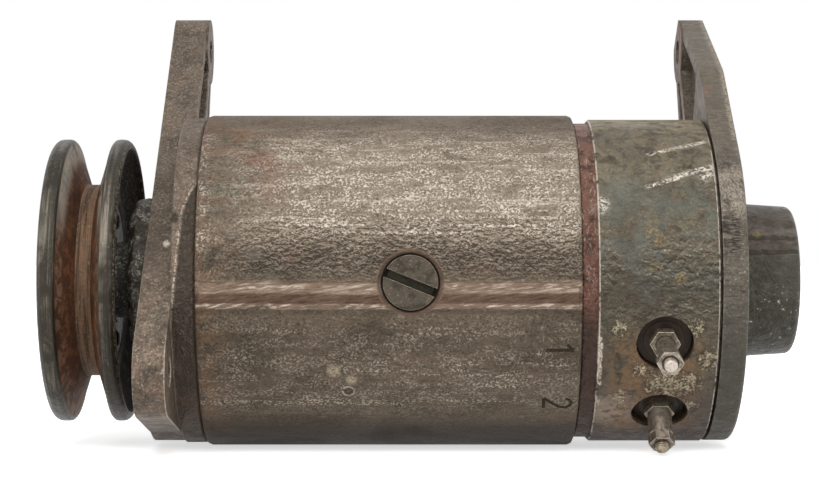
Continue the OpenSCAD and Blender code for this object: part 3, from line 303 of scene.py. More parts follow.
    def mark(self, station, height, size, soft=0.6):
        """1 round a place on the front, seen straight on, at a height over the shaft."""
        flat = self.vector("MULTIPLY", self.vector("SUBTRACT", self.place, (station, 0.0, height)),
                           (1.0, 0.0, 1.0))
        far = self.vector("LENGTH", flat)
        return self.both(self.ramp(far, size, size * (1 - soft)), self.ramp(self.y, 0, -10))

    def square(self, value):
        """Number times itself."""
        return self.sum("POWER", value, 2.0)

    def from_stud(self):
        """Distance from the axis of the nearer terminal stud in mm."""
        off = self.square(self.minus(self.x, TERMINAL_X))
        found = []
        for turn in TERMINAL_TURNS:
            a = math.radians(turn)
            side = self.plus(self.both(self.y, math.sin(a)), self.both(self.z, math.cos(a)))
            found.append(self.sum("SQRT", self.plus(off, self.square(side))))
        return self.sum("MINIMUM", *found)

    def rounded(self, radius):
        """Normals as if the edges were round."""
        bevel = self.nodes.new("ShaderNodeBevel")
        bevel.samples = EDGE_RAYS
        self.put(radius * MM, bevel.inputs["Radius"])
        return bevel.outputs[0]

    def edge(self, radius, low=0.03, high=0.3):
        """1 along sharp outer edges and corners."""
        flat = self.nodes.new("ShaderNodeNewGeometry").outputs["Normal"]
        same = self.vector("DOT_PRODUCT", self.rounded(radius), flat)
        return self.ramp(same, 1.0 - low, 1.0 - high)

    def radius(self):
        """Distance from the shaft axis in mm."""
        return self.sum("SQRT", self.plus(self.both(self.y, self.y), self.both(self.z, self.z)))

    def turn(self):
        """Degrees above the front, negative below it."""
        return self.both(self.sum("ARCTAN2", self.z, self.both(self.y, -1.0)), 180.0 / math.pi)

    def below(self, start, full):
        """1 on the lower front, from start to full degrees, fading out behind."""
        return self.both(self.ramp(self.turn(), start, full), self.ramp(self.y, 32, 0))

    def mix(self, old, new, share, masks, kind):
        """Mixes a share of the new over the old, through masks."""
        node = self.nodes.new("ShaderNodeMix")
        node.data_type = kind
        self.put(self.both(*masks, share), node.inputs["Factor"])
        self.put(old, node.inputs["A"])
        self.put(new, node.inputs["B"])
        return node.outputs["Result"]

    def tint(self, new, share=1.0, *masks):
        """Lays a share of a colour over what is there, through masks."""
        started = self.colour is not None
        self.colour = self.mix(self.colour, new, share, masks, "RGBA") if started else new

    def dark(self, share, *masks):
        """Tints with the dark skin, which also serves as painted shade."""
        self.tint(self.paint.shadow, share, *masks)

    def bare(self, share, *masks):
        """Tints with steel rubbed bare, whose colour also serves as painted highlight."""
        self.tint(self.paint.bright, share, *masks)

    def glint(self, share, *masks):
        """Tints with polished specks, whose colour also serves as painted glints."""
        self.tint(self.paint.pale, share, *masks)

    def shine(self, new, share=1.0, *masks):
        """Moves the roughness towards a value, through masks."""
        started = self.gloss is not None
        self.gloss = self.mix(self.gloss, new, share, masks, "FLOAT") if started else new

    def raise_by(self, height, *masks):
        """Adds relief in mm."""
        step = self.both(*masks, height)
        self.relief = step if self.relief is None else self.plus(self.relief, step)

    def done(self, strength=1.0, soften=0.0):
        """Joins colour, roughness and relief to the shader and returns the material."""
        self.put(self.colour, self.shader.inputs["Base Color"])
        self.put(self.gloss, self.shader.inputs["Roughness"])
        if self.relief is not None:
            bump = self.nodes.new("ShaderNodeBump")
            self.put(self.relief, bump.inputs["Height"])
            self.put(MM, bump.inputs["Distance"])
            self.put(strength, bump.inputs["Strength"])
            if soften:
                self.put(self.rounded(soften), bump.inputs["Normal"])
            self.put(bump.outputs[0], self.shader.inputs["Normal"])
        return self.material


def yoke_steel(paint):
    """Rolled steel: grained brown skin, rows of dots with painted glints, a filed weld band."""
    f = Finish("yoke_steel", paint, metal=0.4, surface=YOKE_RADIUS)
    turn, along = f.turn(), f.x
    broad = f.grain(26, 1.6, 5, 0.6, 0.6)
    spot = f.grain(6, 1.4, 5, 0.65, 0.4, 27)
    wrinkle = f.grain(1.1, 1.6, 4, 0.62, 1.6, 33)
    fine = f.grain(0.62, 1.3, 4, 0.7)
    row = f.grain(2.2, 14, 4, 0.62, 0.15, 4)
    clump = f.grain(3.8, 2.6, 4, 0.62, 0.5, 44)
    dots = f.ramp(f.grain(0.6, 1.1, 2, 0.5, 0.3, 9), 0.5, 0.6)
    f.tint(paint.steel)
    f.dark(0.3, (broad, 0.6, 0.36))
    f.dark(0.3, (spot, 0.48, 0.34))
    # Painted highlight: a broad band on the upper front, brighter as if lit by the lamp above.
    upper = f.both((turn, 9, 20), (turn, 72, 44), (along, 8, 44))
    lower = f.band(turn, -48, -13, 6)
    f.bare(0.24, upper)
    f.tint((0.2, 0.095, 0.06), 0.5, f.spot(29, 42, 15, 0.95), (spot, 0.4, 0.6))
    f.tint((0.2, 0.125, 0.06), 0.4, f.spot(21, 57, 12, 0.95), (spot, 0.42, 0.6))
    f.tint((0.105, 0.1, 0.072), 0.75, f.spot(20.4, 30, 13, 0.95), (clump, 0.3, 0.5))
    f.dark(0.55, (wrinkle, 0.48, 0.36))
    f.bare(0.18, (wrinkle, 0.54, 0.66))
    f.dark(0.5, (fine, 0.47, 0.36))
    # Painted glints on the dots and specks of the upper band.
    f.glint(0.72, upper, dots, (clump, 0.38, 0.58))
    f.glint(0.5, upper, (row, 0.54, 0.62), (fine, 0.44, 0.56))
    # Painted glints on the dots of the lower front and just under the highlight band.
    f.bare(0.45, lower, dots, (clump, 0.4, 0.58))
    f.glint(0.5, lower, dots, (row, 0.56, 0.63))
    f.bare(0.4, f.band(turn, 2, 16, 3), dots, (spot, 0.4, 0.56))
    # Painted shade: darker just under the highlight band and over the lower side, away from the
    # lamp.
    f.dark(0.5, f.band(turn, 1, 13, 3), (fine, 0.62, 0.4))
    f.dark(0.22, f.below(-9, -20))
    f.dark(0.2, f.band(turn, -26, -9, 5))
    f.dark(0.85, f.below(-46, -66))
    # Painted light and shade on the orange peel: upper sides of its wrinkles lighter, lower sides
    # darker.
    peel = f.slope(1.2, 1.5, 0.3, 73)
    peel_light_and_shade = f.both(f.band(turn, 2, 22, 5), (along, 14, 30))
    f.dark(0.72, peel_light_and_shade, (peel, 0.01, -0.05))
    f.bare(0.22, peel_light_and_shade, (peel, 0.02, 0.07))
    red = f.both((along, 58, 18), f.band(turn, 18, 80, 16), (spot, 0.4, 0.6))
    f.tint(paint.rust, 0.4, red)
    end = f.both((along, 24, 12), f.band(turn, -60, 16, 14), (spot, 0.4, 0.56))
    f.tint(paint.orange, 0.16, end)
    # Painted glints on dots near the drive end and in rows further along.
    f.glint(0.5, (along, 18, 11), f.band(turn, 10, 62, 8), dots, (clump, 0.42, 0.56))
    rows = f.both(f.band(turn, 15.5, 26.5, 0.8), (along, 30, 42),
                  (f.sum("SINE", f.both(turn, 2.4)), 0.3, 0.8))
    f.glint(0.65, rows, dots, (row, 0.42, 0.52))
    # Each lump has its own grey tone and a painted shadow just below it.
    for station, degrees, size in ((21.6, 16.3, 2.6), (28.6, 9.6, 3.4), (33.6, 0.6, 3.2)):
        lump = f.spot(station, degrees, size, 0.5)
        f.dark(0.6, f.spot(station, degrees - 1.6, size, 0.5), (fine, 0.6, 0.4))
        f.tint((0.17, 0.15, 0.115), 0.35, lump)
        f.raise_by(0.35, lump)
    # More painted shade just under the highlight band.
    f.dark(0.15, f.band(turn, 2, 10, 3))
    f.tint(paint.rust, 0.25, (f.grain(9, 2.5, 5, 0.65, 0.4, 31), 0.58, 0.74))
    wander = f.both(f.minus(f.grain(14, 1, 3, 0.5, 0, 3), 0.5), 1.4)
    weld = f.plus(turn, wander)
    slant = f.grain(0.7, 7, 4, 0.6, 0.6, 17, f.leaned(0.16))
    patch = f.ramp(f.grain(11, 1.4, 3, 0.55, 0.3, 61), 0.4, 0.5)
    strip = f.band(weld, -3.6, 0.4, 0.6)
    f.tint(paint.weld, 0.9, strip)
    f.bare(0.42, strip, (slant, 0.46, 0.66))
    f.glint(0.45, f.band(weld, -2.2, -0.4, 0.5), (slant, 0.54, 0.66), patch)
    f.dark(0.4, strip, (slant, 0.44, 0.32))
    burnt = f.band(weld, -6.9, -3.8, 0.5)
    f.tint((0.09, 0.047, 0.03), 0.85, burnt)
    f.tint(paint.weld, 0.5, burnt, (slant, 0.5, 0.66))
    f.dark(0.6, burnt, (slant, 0.46, 0.34))
    lower_line = f.both(f.band(weld, -8.5, -6.9, 0.35), patch)
    f.tint(paint.weld, 0.8, lower_line)
    f.glint(0.6, lower_line, (slant, 0.5, 0.64))
    f.dark(0.35, f.band(weld, -10.4, -8.8, 0.7))
    crater = f.away((56.2, -40.9, -32.9))
    f.dark(0.7, f.band(crater, 0.5, 1.5, 0.3))
    f.glint(0.5, f.band(crater, 1.5, 1.9, 0.25), (fine, 0.42, 0.54))
    for mark, size in (((51.8, -45.3, -26.5), 2.8), ((57.2, -43.6, -29.2), 2.4)):
        f.tint(paint.cream, 0.5, f.near(mark, size, 0.7), (fine, 0.38, 0.5))
    seat = f.sum("SQRT", f.plus(f.square(f.minus(along, SCREW_X)), f.square(f.z)))
    front = f.ramp(f.y, -40, -44)
    f.tint((0.1, 0.062, 0.042), 0.75, front, f.band(seat, 8.4, 10.1, 0.2))
    # Painted shadow in the gap between the screw head and its seat.
    f.dark(0.97, front, (seat, 9.1, 8.7))
    f.tint(paint.weld, 0.5, front, f.band(seat, 9.9, 10.3, 0.15), (spot, 0.46, 0.58))
    rim = f.edge(0.8)
    f.glint(0.4, rim, (along, 100, 104), (fine, 0.38, 0.56))
    f.shine(0.5)
    f.shine(0.34, 0.8, upper, (clump, 0.36, 0.6))
    f.shine(0.72, 0.6, (broad, 0.58, 0.4))
    f.raise_by(0.5, broad)
    f.raise_by(-0.3, (f.grain(8, 1.3, 4, 0.55, 0.3, 55), 0.55, 0.7))
    f.raise_by(0.8, wrinkle)
    f.raise_by(0.12, dots)
    f.raise_by(0.3, fine)
    f.raise_by(0.4, f.band(weld, -8.5, 0.4, 0.6), slant)
    f.raise_by(-0.4, (crater, 1.6, 0.8))
    return f.done(1, 0.5)


def casting_skin(f, paint, base, worn=0.5, relief=1, speckle=0.5):
    """Shared skin of the castings: lumps, wrinkles, dark hollows, chips and worn edges."""
    broad = f.grain(17, 1, 5, 0.62, 0.6)
    lumps = f.grain(4.2, 1, 5, 0.62, 0.4, 6)
    wrinkle = f.folds(2.6, (1.3, 1.3, 1), 0.4, 43)
    fine = f.grain(0.8, 1, 6, 0.75, 0, 2)
    grit = f.grain(0.5, 1, 5, 0.7, 0, 29)
    f.tint(base)
    f.dark(0.4, (broad, 0.56, 0.36))
    f.dark(0.5, (lumps, 0.48, 0.34))
    f.dark(0.3, (wrinkle, 0.6, 0.2))
    f.dark(speckle, (fine, 0.5, 0.38))
    f.bare(speckle, (fine, 0.52, 0.66), (grit, 0.44, 0.58))
    f.tint(paint.rust, 0.35, (f.grain(8, 1, 5, 0.65, 0.5, 41), 0.56, 0.74))
    edge = f.edge(0.9, 0.04, 0.32)
    f.bare(worn, edge, (lumps, 0.38, 0.56))
    f.shine(0.55)
    f.shine(0.34, 0.6, (broad, 0.5, 0.36))
    f.shine(0.34, 0.6, (lumps, 0.48, 0.6))
    f.raise_by(0.9, broad)
    f.raise_by(1.7 * relief, lumps)
    f.raise_by(0.35 * relief, wrinkle)
    f.raise_by(0.25, fine)
    return broad, lumps, fine


def drive_casting(paint):
    """Drive end bracket: brown casting, painted shade behind a worn edge, a greasy boss."""
    f = Finish("drive_casting", paint, metal=0.2)
    _, lumps, fine = casting_skin(f, paint, paint.bracket, 0.4, 0.6)
    flange = f.both((f.x, 3.4, 3.8), (f.radius(), 56, 53))
    root = f.plus(f.sum("MULTIPLY_ADD", f.z, 0.09, 4.4), f.both((f.z, 20, 38), 5))
    behind = f.minus(f.x, f.plus(root, f.both(lumps, 0.8)))
    # Painted shade in the recess behind the arm's root.
    step = f.both(flange, (behind, 0.1, 0.8))
    f.dark(0.72, step)
    f.raise_by(0.5, step, f.folds(2.4, 1, 1.2, 87))
    line = f.both(flange, f.band(behind, -0.45, 0.05, 0.2), (f.z, 32, 26))
    f.bare(0.6, line, (fine, 0.42, 0.56), (lumps, 0.34, 0.5))
    chips = f.ramp(f.grain(1.1, 1, 6, 0.75, 0.3, 52), 0.6, 0.68)
    band = f.band(f.x, -6.4, 3.8, 0.6)
    low = f.both(band, (f.z, 14, -10))
    f.bare(0.7, low, chips)
    f.bare(0.12, low, (lumps, 0.44, 0.64), (fine, 0.42, 0.56))
    # Painted shade: darker on the lower side, away from the lamp.
    f.tint((0.05, 0.036, 0.024), 0.6, f.below(-20, -46))
    f.tint(paint.rust, 0.25, (f.z, -10, -30), (lumps, 0.42, 0.6))
    corner = f.both(f.edge(1, 0.03, 0.25), f.band(f.x, -1, 5, 1), (f.z, -12, -20))
    f.glint(0.8, corner, (fine, 0.36, 0.48))
    scratch = f.grain(0.5, (1, 1, 12), 4, 0.65, 0.3, 35)
    f.bare(0.28, band, (f.z, 6, 20), (scratch, 0.56, 0.68))
    f.dark(0.4, band, (f.z, 6, 20), (scratch, 0.46, 0.36))
    gouge = f.both(f.mark(4.2, 19.4, 2.2), (fine, 0.38, 0.5))
    f.dark(0.9, gouge)
    f.raise_by(-0.6, gouge)
    f.glint(0.9, f.mark(0.3, 11.6, 1.5, 0.7), (fine, 0.4, 0.5))
    greasy = f.both((f.x, -5.6, -7), (f.radius(), 34, 25))
    f.dark(0.85, greasy)
    f.shine(0.25, 0.8, greasy)
    return f.done(0.9, 0.7)


def end_casting(paint):
    """Commutator end bracket: brown disc, green-black boss and a rubbed, cracked rim."""
    f = Finish("end_casting", paint, metal=0.2)
    _, lumps, fine = casting_skin(f, paint, paint.end, 0.5, 0.6, 0.45)
    face = f.both((f.x, 168.3, 167.6), (f.radius(), 50, 54))
    f.dark(0.3, (f.x, 172, 174), (f.radius(), 48, 30))
    f.tint((0.06, 0.04, 0.026), 0.7, face)
    f.tint(paint.rust, 0.6, face, (f.z, 30, 40), (lumps, 0.4, 0.56))
    wall = f.both((f.x, 167.6, 168.3), (f.x, 175.55, 175.3))
    rim = f.both(wall, (f.y, 8, 0))
    ear = f.both(wall, (f.z, 36, 46))
    cuts = f.grain(0.6, 7, 5, 0.65, 0.2, 19)
    f.tint(paint.worn, 0.55, ear)
    f.dark(0.5, f.sum("MAXIMUM", rim, ear), (cuts, 0.52, 0.38))
    f.bare(0.35, ear, (f.x, 173.4, 175), (fine, 0.4, 0.56))
    rub = f.both(rim, f.band(f.z, 20, 35, 3), (lumps, 0.3, 0.5))
    f.bare(0.4, rub, (f.grain(0.5, (1, 1, 8), 4, 0.6, 0.4, 67), 0.3, 0.7))
    cracks = f.both(rim, f.band(f.z, 8, 21, 3), (f.x, 174.4, 172),
                    f.creases(0.9, 8, 0.06, 0.3, 47))
    f.dark(0.95, cracks)
    f.raise_by(-0.3, cracks)
    f.tint(paint.boss, 0.7, rim, (f.z, 6, -24))
    f.tint(paint.orange, 0.7, f.mark(167.8, 62.6, 4.5, 0.8), (lumps, 0.38, 0.54))
    f.tint(paint.boss, 0.95, (f.x, 175.2, 176), (f.radius(), 27, 25))
    boss = f.ramp(f.x, 176, 176.8)
    knots = f.grain(3.2, 1.6, 5, 0.62, 0.5, 76)
    height = f.plus(f.z, f.both(f.minus(lumps, 0.5), 2.4))
    side = f.both(boss, (f.radius(), 19.5, 21.5), (f.y, 12, 0))
    crown = f.both(side, (height, 7.5, 9.5))
    f.tint((0.068, 0.052, 0.04), 0.8, crown)
    f.dark(0.6, boss, (knots, 0.5, 0.38))
    f.tint((0.14, 0.11, 0.085), 0.45, crown, (knots, 0.52, 0.64))
    f.tint((0.09, 0.092, 0.076), 0.5, boss, (knots, 0.54, 0.66))
    chips = f.ramp(f.grain(1.3, 1, 6, 0.7, 0.3, 91), 0.61, 0.67)
    f.bare(0.75, side, (f.z, 2, -8), chips)
    f.tint((0.26, 0.2, 0.05), 0.7, f.near((182.8, -19.8, 14.4), 2, 0.7), (fine, 0.42, 0.52))
    for level in (13.5, 9):
        groove = f.both(side, f.band(height, level - 0.5, level + 0.5, 0.4))
        f.dark(0.7, groove)
        f.raise_by(-0.6, groove)
    f.tint(paint.orange, 0.8, f.near((168, 22, 62), 10, 0.8),
           (f.grain(3, 1, 5, 0.6, 0.3, 14), 0.4, 0.62))
    f.shine(0.32, 0.7, (f.x, 175, 177))
    f.raise_by(0.9, boss, knots)
    return f.done(0.9, 0.7)


def housing_casting(paint):
    """Commutator housing: wrinkled olive casting, chips, cream crust and a red-brown neck."""
    f = Finish("housing_casting", paint, metal=0.15, surface=HOUSING_RADIUS)
    broad, lumps, fine = casting_skin(f, paint, paint.olive, 0.4, 1.1, 0.25)
    turn = f.turn()
    mottle = f.grain(2.4, (1.3, 1.3, 1), 5, 0.66, 0.3, 63)
    f.tint((0.17, 0.12, 0.07), 0.5, f.band(turn, 30, 100, 16), (mottle, 0.5, 0.62))
    f.dark(0.35, f.band(turn, 36, 100, 12), (lumps, 0.5, 0.4))
    f.tint(paint.rust, 0.35, f.below(30, 10), (mottle, 0.52, 0.66))
    cool = f.ramp(f.grain(9, 1, 3, 0.5, 0.3, 23), 0.44, 0.62)
    blue = f.sum("MAXIMUM", f.both(f.spot(138, 31, 12, 0.8), (mottle, 0.3, 0.5)),
                 f.both(cool, (turn, 42, 26)))
    f.tint((0.105, 0.115, 0.1), 0.5, blue, (turn, -14, 6))
    folded = f.both((turn, 36, 24), (turn, -58, -40))
    pleats = f.folds(3.4, (1.7, 1.7, 1), 0.35, 57)
    # Painted light and shade on the wrinkles: lower sides darker, upper sides lighter, with painted
    # glints.
    fall = f.slope(2.1, (1.3, 1.3, 1), 0.45, 63)
    creased = f.both(f.band(turn, -16, 16, 12), (broad, 0.36, 0.56))
    f.dark(0.8, creased, (fall, 0, -0.08))
    f.bare(0.14, creased, (fall, 0.03, 0.1))
    glints = f.both((fall, 0.05, 0.1), (fine, 0.5, 0.6))
    f.glint(0.45, creased, glints)
    # Painted shade: darker on the lower side, away from the lamp.
    f.dark(0.42, f.below(15, -2))
    f.tint((0.17, 0.096, 0.045), 0.75, f.band(turn, -64, -18, 8), f.band(f.x, 135, 162, 5),
           (lumps, 0.36, 0.5))
    f.tint((0.055, 0.036, 0.03), 0.8, f.below(-58, -68))
    f.tint((0.06, 0.042, 0.036), 0.5, (f.x, 157, 163), f.below(-34, -46))
    drift = 0
    for place in ((152, -37, 9), (158, -37, 6.5), (165, -27, 5.5), (160, -15.5, 4),
                  (138.5, -44, 5.5), (144, -31, 4), (137, -15.5, 3.5), (160, -47, 3.5)):
        drift = f.sum("MAXIMUM", drift, f.spot(*place, 0.75))
    gravel = f.grain(1.5, 1, 6, 0.82, 0.3, 71)
    crust = f.ramp(f.plus(gravel, f.both(drift, 0.12)), 0.56, 0.62)
    crust = f.both(crust, (drift, 0, 0.3))
    sand = f.grain(0.7, 1, 5, 0.8, 0, 97)
    f.tint(paint.cream, 0.8, crust)
    f.tint((0.03, 0.017, 0.008), 0.85, (drift, 0, 0.3), (sand, 0.52, 0.44))
    f.glint(0.55, crust, (sand, 0.56, 0.64))
    pink = f.both(f.spot(136.5, -50, 12, 0.8), (mottle, 0.36, 0.5))
    f.tint((0.36, 0.27, 0.21), 0.6, pink)
    ragged = f.ramp(f.grain(0.9, (1.6, 1.6, 1), 6, 0.74, 1.4, 83), 0.47, 0.53)
    top = f.both(f.band(turn, 66, 96, 6), (f.grain(2.6, 2.5, 5, 0.66, 0.5, 11), 0.44, 0.56))
    f.tint((0.3, 0.24, 0.16), 0.55, top)
    for start, end, width, share in (
            ((146, 34), (156, 38), 1, 0.95), ((152, 37), (167, 43.5), 1.5, 0.8),
            ((163, 37), (167.5, 43), 2.6, 0.8), ((147, 49), (166, 57), 1.2, 0.7)):
        mark = f.streak(start, end, width, ragged)
        f.glint(share, mark)
        f.raise_by(-0.12, mark)
    f.glint(0.9, f.spot(131.6, 27, 4, 0.7), ragged)
    flakes = f.ramp(f.grain(0.9, 1, 5, 0.7, 0.3, 95), 0.5, 0.58)
    for place in ((147.6, 4.5, 3.2), (155, 1.5, 2.6), (147, 18, 4), (149, 14, 3)):
        f.tint((0.3, 0.2, 0.06), 0.8, f.spot(*place, 0.8), flakes)
    neck = f.ramp(f.x, 131.4, 130.6)
    f.tint((0.15, 0.058, 0.04), 0.8, neck, (fine, 0.2, 0.5))
    f.dark(0.6, neck, (lumps, 0.5, 0.38))
    f.tint((0.035, 0.02, 0.013), 0.85, neck, f.below(-4, -18))
    swirl = f.ramp(f.grain(1.5, (1, 2.5, 2.5), 4, 0.6, 2.5, 37), 0.55, 0.66)
    f.glint(0.3, neck, f.band(turn, -3, 120, 9), swirl)
    lips = f.sum("MAXIMUM", f.band(f.x, 131, 131.4, 0.12), f.band(f.x, 166.6, 167, 0.12))
    f.glint(0.7, lips, (f.radius(), 50, 50.4), (lumps, 0.4, 0.5))
    blobs = f.both(f.band(f.x, 130.9, 132.3, 0.3), f.band(turn, -46, -17, 4), (lumps, 0.44, 0.54))
    f.glint(0.8, blobs, (fine, 0.4, 0.5))
    # Painted shade in the recess at the housing's left end.
    f.dark(0.9, (f.radius(), 50.6, 49.6), (f.x, 132, 134))
    f.raise_by(0.5, folded, pleats)
    f.raise_by(1.6, folded, mottle)
    f.raise_by(0.35, crust)
    return f.done(1, 0.5)


def pulley_steel(paint):
    """Pressed pulley: satin rims, a rusty belt track with worn flanks, painted shade on the back.
    """
    f = Finish("pulley_steel", paint, metal=0.45)
    radius, across = f.radius(), f.plus(f.x, -PULLEY_X)
    reach, turn = f.sum("ABSOLUTE", across), f.turn()
    broad = f.grain(11, 1, 5, 0.6, 0.6)
    blot = f.grain(3.4, 1, 5, 0.62, 0.5, 12)
    fine = f.grain(0.9, 1, 6, 0.74, 0, 5)
    rings = f.grain(0.8, (1, 30, 30), 4, 0.6, 0.2, 15)
    f.tint(paint.rim)
    f.dark(0.4, (broad, 0.58, 0.4))
    f.bare(0.12, (rings, 0.46, 0.6), (broad, 0.4, 0.6))
    # Painted highlight: bright streaks on the upper front of the inner rim.
    f.bare(0.24, f.band(f.z, 10, 32, 7), (rings, 0.3, 0.6), f.band(across, 6.5, 9.2, 0.8))
    f.bare(0.35, (fine, 0.6, 0.72))
    f.dark(0.4, (rings, 0.48, 0.36))
    flank = f.plus(2.3, f.both(f.minus(radius, 30.5), 0.292))
    track = f.both((f.minus(reach, flank), 0.9, 0.3), (radius, 29, 30), (radius, 44, 43))
    f.tint(paint.groove, 0.95, track)
    f.tint(paint.orange, 0.5, track, (blot, 0.46, 0.6))
    f.dark(0.6, track, (fine, 0.5, 0.34))
    f.dark(0.5, track, (broad, 0.48, 0.36))
    wear = f.both(track, (radius, 36, 41), (turn, 14, 40), (broad, 0.3, 0.5))
    f.tint((0.4, 0.38, 0.33), 0.8, wear)
    f.dark(0.4, wear, (blot, 0.5, 0.38))
    f.tint((0.26, 0.19, 0.13), 0.5, track, f.band(radius, 38.5, 43, 1), (blot, 0.46, 0.6))
    bottom = f.both(track, (radius, 31.6, 30.9))
    f.tint((0.15, 0.095, 0.055), 0.6, bottom)
    f.dark(0.7, bottom, (rings, 0.52, 0.4))
    f.tint(paint.cream, 0.5, bottom, (fine, 0.6, 0.68))
    # Painted shade: the back face, turned towards the bracket, nearly black, with a few patches.
    back = f.both((across, 5.2, 6.6), (radius, 42.4, 41.6))
    f.dark(0.95, back)
    f.tint((0.14, 0.12, 0.085), 0.35, back, (blot, 0.52, 0.66))
    f.bare(0.45, back, (turn, 10, 50), (fine, 0.54, 0.64))
    face = f.both((across, -5, -6.4), (radius, 43, 41))
    f.tint(paint.rust, 0.3, face, (blot, 0.46, 0.66))
    lip = f.both(f.band(across, 11, 11.7, 0.15), (radius, 40.6, 41.2))
    f.bare(0.5, lip, (fine, 0.46, 0.6))
    rim = f.edge(0.7, 0.04, 0.3)
    f.bare(0.4, rim, (fine, 0.4, 0.6))
    f.shine(0.36)
    f.shine(0.5, 0.7, (fine, 0.5, 0.36))
    f.shine(0.7, 0.8, track)
    f.shine(0.8, 0.9, back)
    f.shine(0.32, 0.6, rim)
    f.raise_by(0.35, track, rings)
    f.raise_by(0.35, broad)
    f.raise_by(0.3, blot)
    f.raise_by(0.12, fine)
    return f.done(0.9, 0.5)


def screw_steel(paint):
    """Oxidised screws, nuts and washers with rubbed edges and painted shade in the slots."""
    f = Finish("screw_steel", paint, metal=0.6)
    grain = f.grain(3.2, 1, 5, 0.6, 0.3)
    fine = f.grain(0.6, 1.6, 6, 0.7, 0, 3)
    f.tint((0.06, 0.05, 0.037))
    f.dark(0.5, (grain, 0.54, 0.38))
    f.tint(paint.rust, 0.3, (grain, 0.56, 0.7))
    f.bare(0.22, (fine, 0.56, 0.7))
    f.dark(0.4, (fine, 0.46, 0.34))
    f.bare(0.6, f.edge(0.45), (fine, 0.34, 0.5))
    # Painted shade deep in the screw slot.
    slot = f.both((f.sum("ABSOLUTE", f.minus(f.x, SCREW_X)), 10, 9),
                  (f.sum("ABSOLUTE", f.y), 51.1, 50.9))
    f.tint((0.018, 0.016, 0.009), 0.95, slot)
    f.shine(0.44)
    f.shine(0.7, 0.7, (grain, 0.52, 0.4))
    f.raise_by(0.25, grain)
    f.raise_by(0.14, fine)
    return f.done(0.9, 0.3)


def ground_steel(paint):
    """Turned and ground steel of the shaft, the collar and the races."""
    f = Finish("ground_steel", paint, metal=1)
    rings = f.grain(0.35, (1, 40, 40), 3, 0.5)
    dust = f.grain(7, 1, 4, 0.6, 0.3, 8)
    f.tint((0.56, 0.55, 0.53))
    f.tint((0.3, 0.27, 0.23), 0.5, (dust, 0.5, 0.7))
    f.shine(0.24)
    f.shine(0.4, 0.6, (rings, 0.4, 0.6))
    f.raise_by(0.02, rings)
    return f.done(0.6, 0.2)


def pole_steel(paint):
    """Machined soft iron of the poles and the sheets of the core."""
    f = Finish("pole_steel", paint, metal=0.8)
    sheets = f.sum("SINE", f.both(f.x, 2 * math.pi))
    dust = f.grain(6, 1, 5, 0.6, 0.3)
    f.tint((0.3, 0.29, 0.28))
    f.tint((0.14, 0.12, 0.1), 0.6, (sheets, -0.3, -0.9))
    f.tint(paint.rust, 0.4, (dust, 0.58, 0.72))
    f.shine(0.42)
    f.shine(0.6, 0.7, (dust, 0.5, 0.7))
    f.raise_by(0.04, sheets)
    return f.done(0.8, 0.2)


def coil_tape(paint):
    """Varnished cotton tape wound round the field coils."""
    f = Finish("coil_tape", paint)
    slant = f.plus(f.x, f.both(f.z, 0.35))
    turns = f.sum("FRACT", f.sum("DIVIDE", slant, 9))
    weave = f.both(f.sum("SINE", f.both(f.x, 7)), f.sum("SINE", f.both(f.z, 7)))
    dirt = f.grain(9, 1, 5, 0.6, 0.3)
    f.tint((0.15, 0.088, 0.045))
    f.tint((0.06, 0.034, 0.018), 0.7, (dirt, 0.44, 0.64))
    f.tint((0.04, 0.022, 0.012), 0.8, (turns, 0.12, 0))
    f.shine(0.45)
    f.shine(0.7, 0.5, (weave, 0, 0.6))
    f.raise_by(0.3, turns)
    f.raise_by(0.05, weave)
    return f.done(0.9)


def copper_wire(paint):
    """Lacquered copper wire of the armature, laid in turns."""
    f = Finish("copper_wire", paint, metal=0.7)
    turn = f.turn()
    wires = f.sum("SINE", f.both(f.plus(turn, f.both(f.x, 2.2)), 2.2))
    dirt = f.grain(8, 1, 5, 0.6, 0.3)
    f.tint(paint.copper)
    f.tint((0.16, 0.065, 0.03), 0.8, (wires, 0, -0.9))
    f.tint((0.1, 0.06, 0.035), 0.6, (dirt, 0.46, 0.66))
    f.shine(0.34)
    f.shine(0.6, 0.7, (dirt, 0.46, 0.66))
    f.raise_by(0.25, wires)
    return f.done(0.9)


def commutator_copper(paint):
    """Commutator bars with the dark track of the brushes."""
    f = Finish("commutator_copper", paint, metal=0.9)
    rings = f.grain(0.3, (1, 30, 30), 3, 0.5)
    f.tint(paint.copper)
    f.tint((0.14, 0.09, 0.06), 0.7, f.band(f.x, 133.6, 147.6, 1))
    f.shine(0.3)
    f.shine(0.45, 0.6, (rings, 0.4, 0.6))
    f.raise_by(0.03, rings)
    return f.done(0.6, 0.2)


def brown_moulding(paint):
    """Phenolic insulators, dusty in patches and on the edges."""
    f = Finish("brown_moulding", paint, specular=0.14)
    grain = f.grain(2.4, 1, 5, 0.65, 0.3)
    fine = f.grain(0.5, 1, 5, 0.7, 0, 2)
    f.tint(paint.moulding)
    f.tint((0.05, 0.034, 0.023), 0.7, (grain, 0.48, 0.66))
    f.tint((0.2, 0.15, 0.1), 0.35, f.edge(0.5), (fine, 0.4, 0.6))
    f.shine(0.36)
    f.shine(0.62, 0.8, (grain, 0.44, 0.6))
    f.raise_by(0.12, grain)
    f.raise_by(0.04, fine)
    return f.done(0.8, 0.3)


def felt_wool(paint):
    """Greased felt of the seal."""
    f = Finish("felt_wool", paint)
    hair = f.grain(0.6, 1, 6, 0.8, 1.5)
    f.tint((0.34, 0.27, 0.17))
    f.tint((0.12, 0.09, 0.05), 0.7, (hair, 0.45, 0.65))
    f.shine(0.92)
    f.shine(0.6, 0.5, (hair, 0.5, 0.7))
    f.raise_by(0.2, hair)
    return f.done(1)


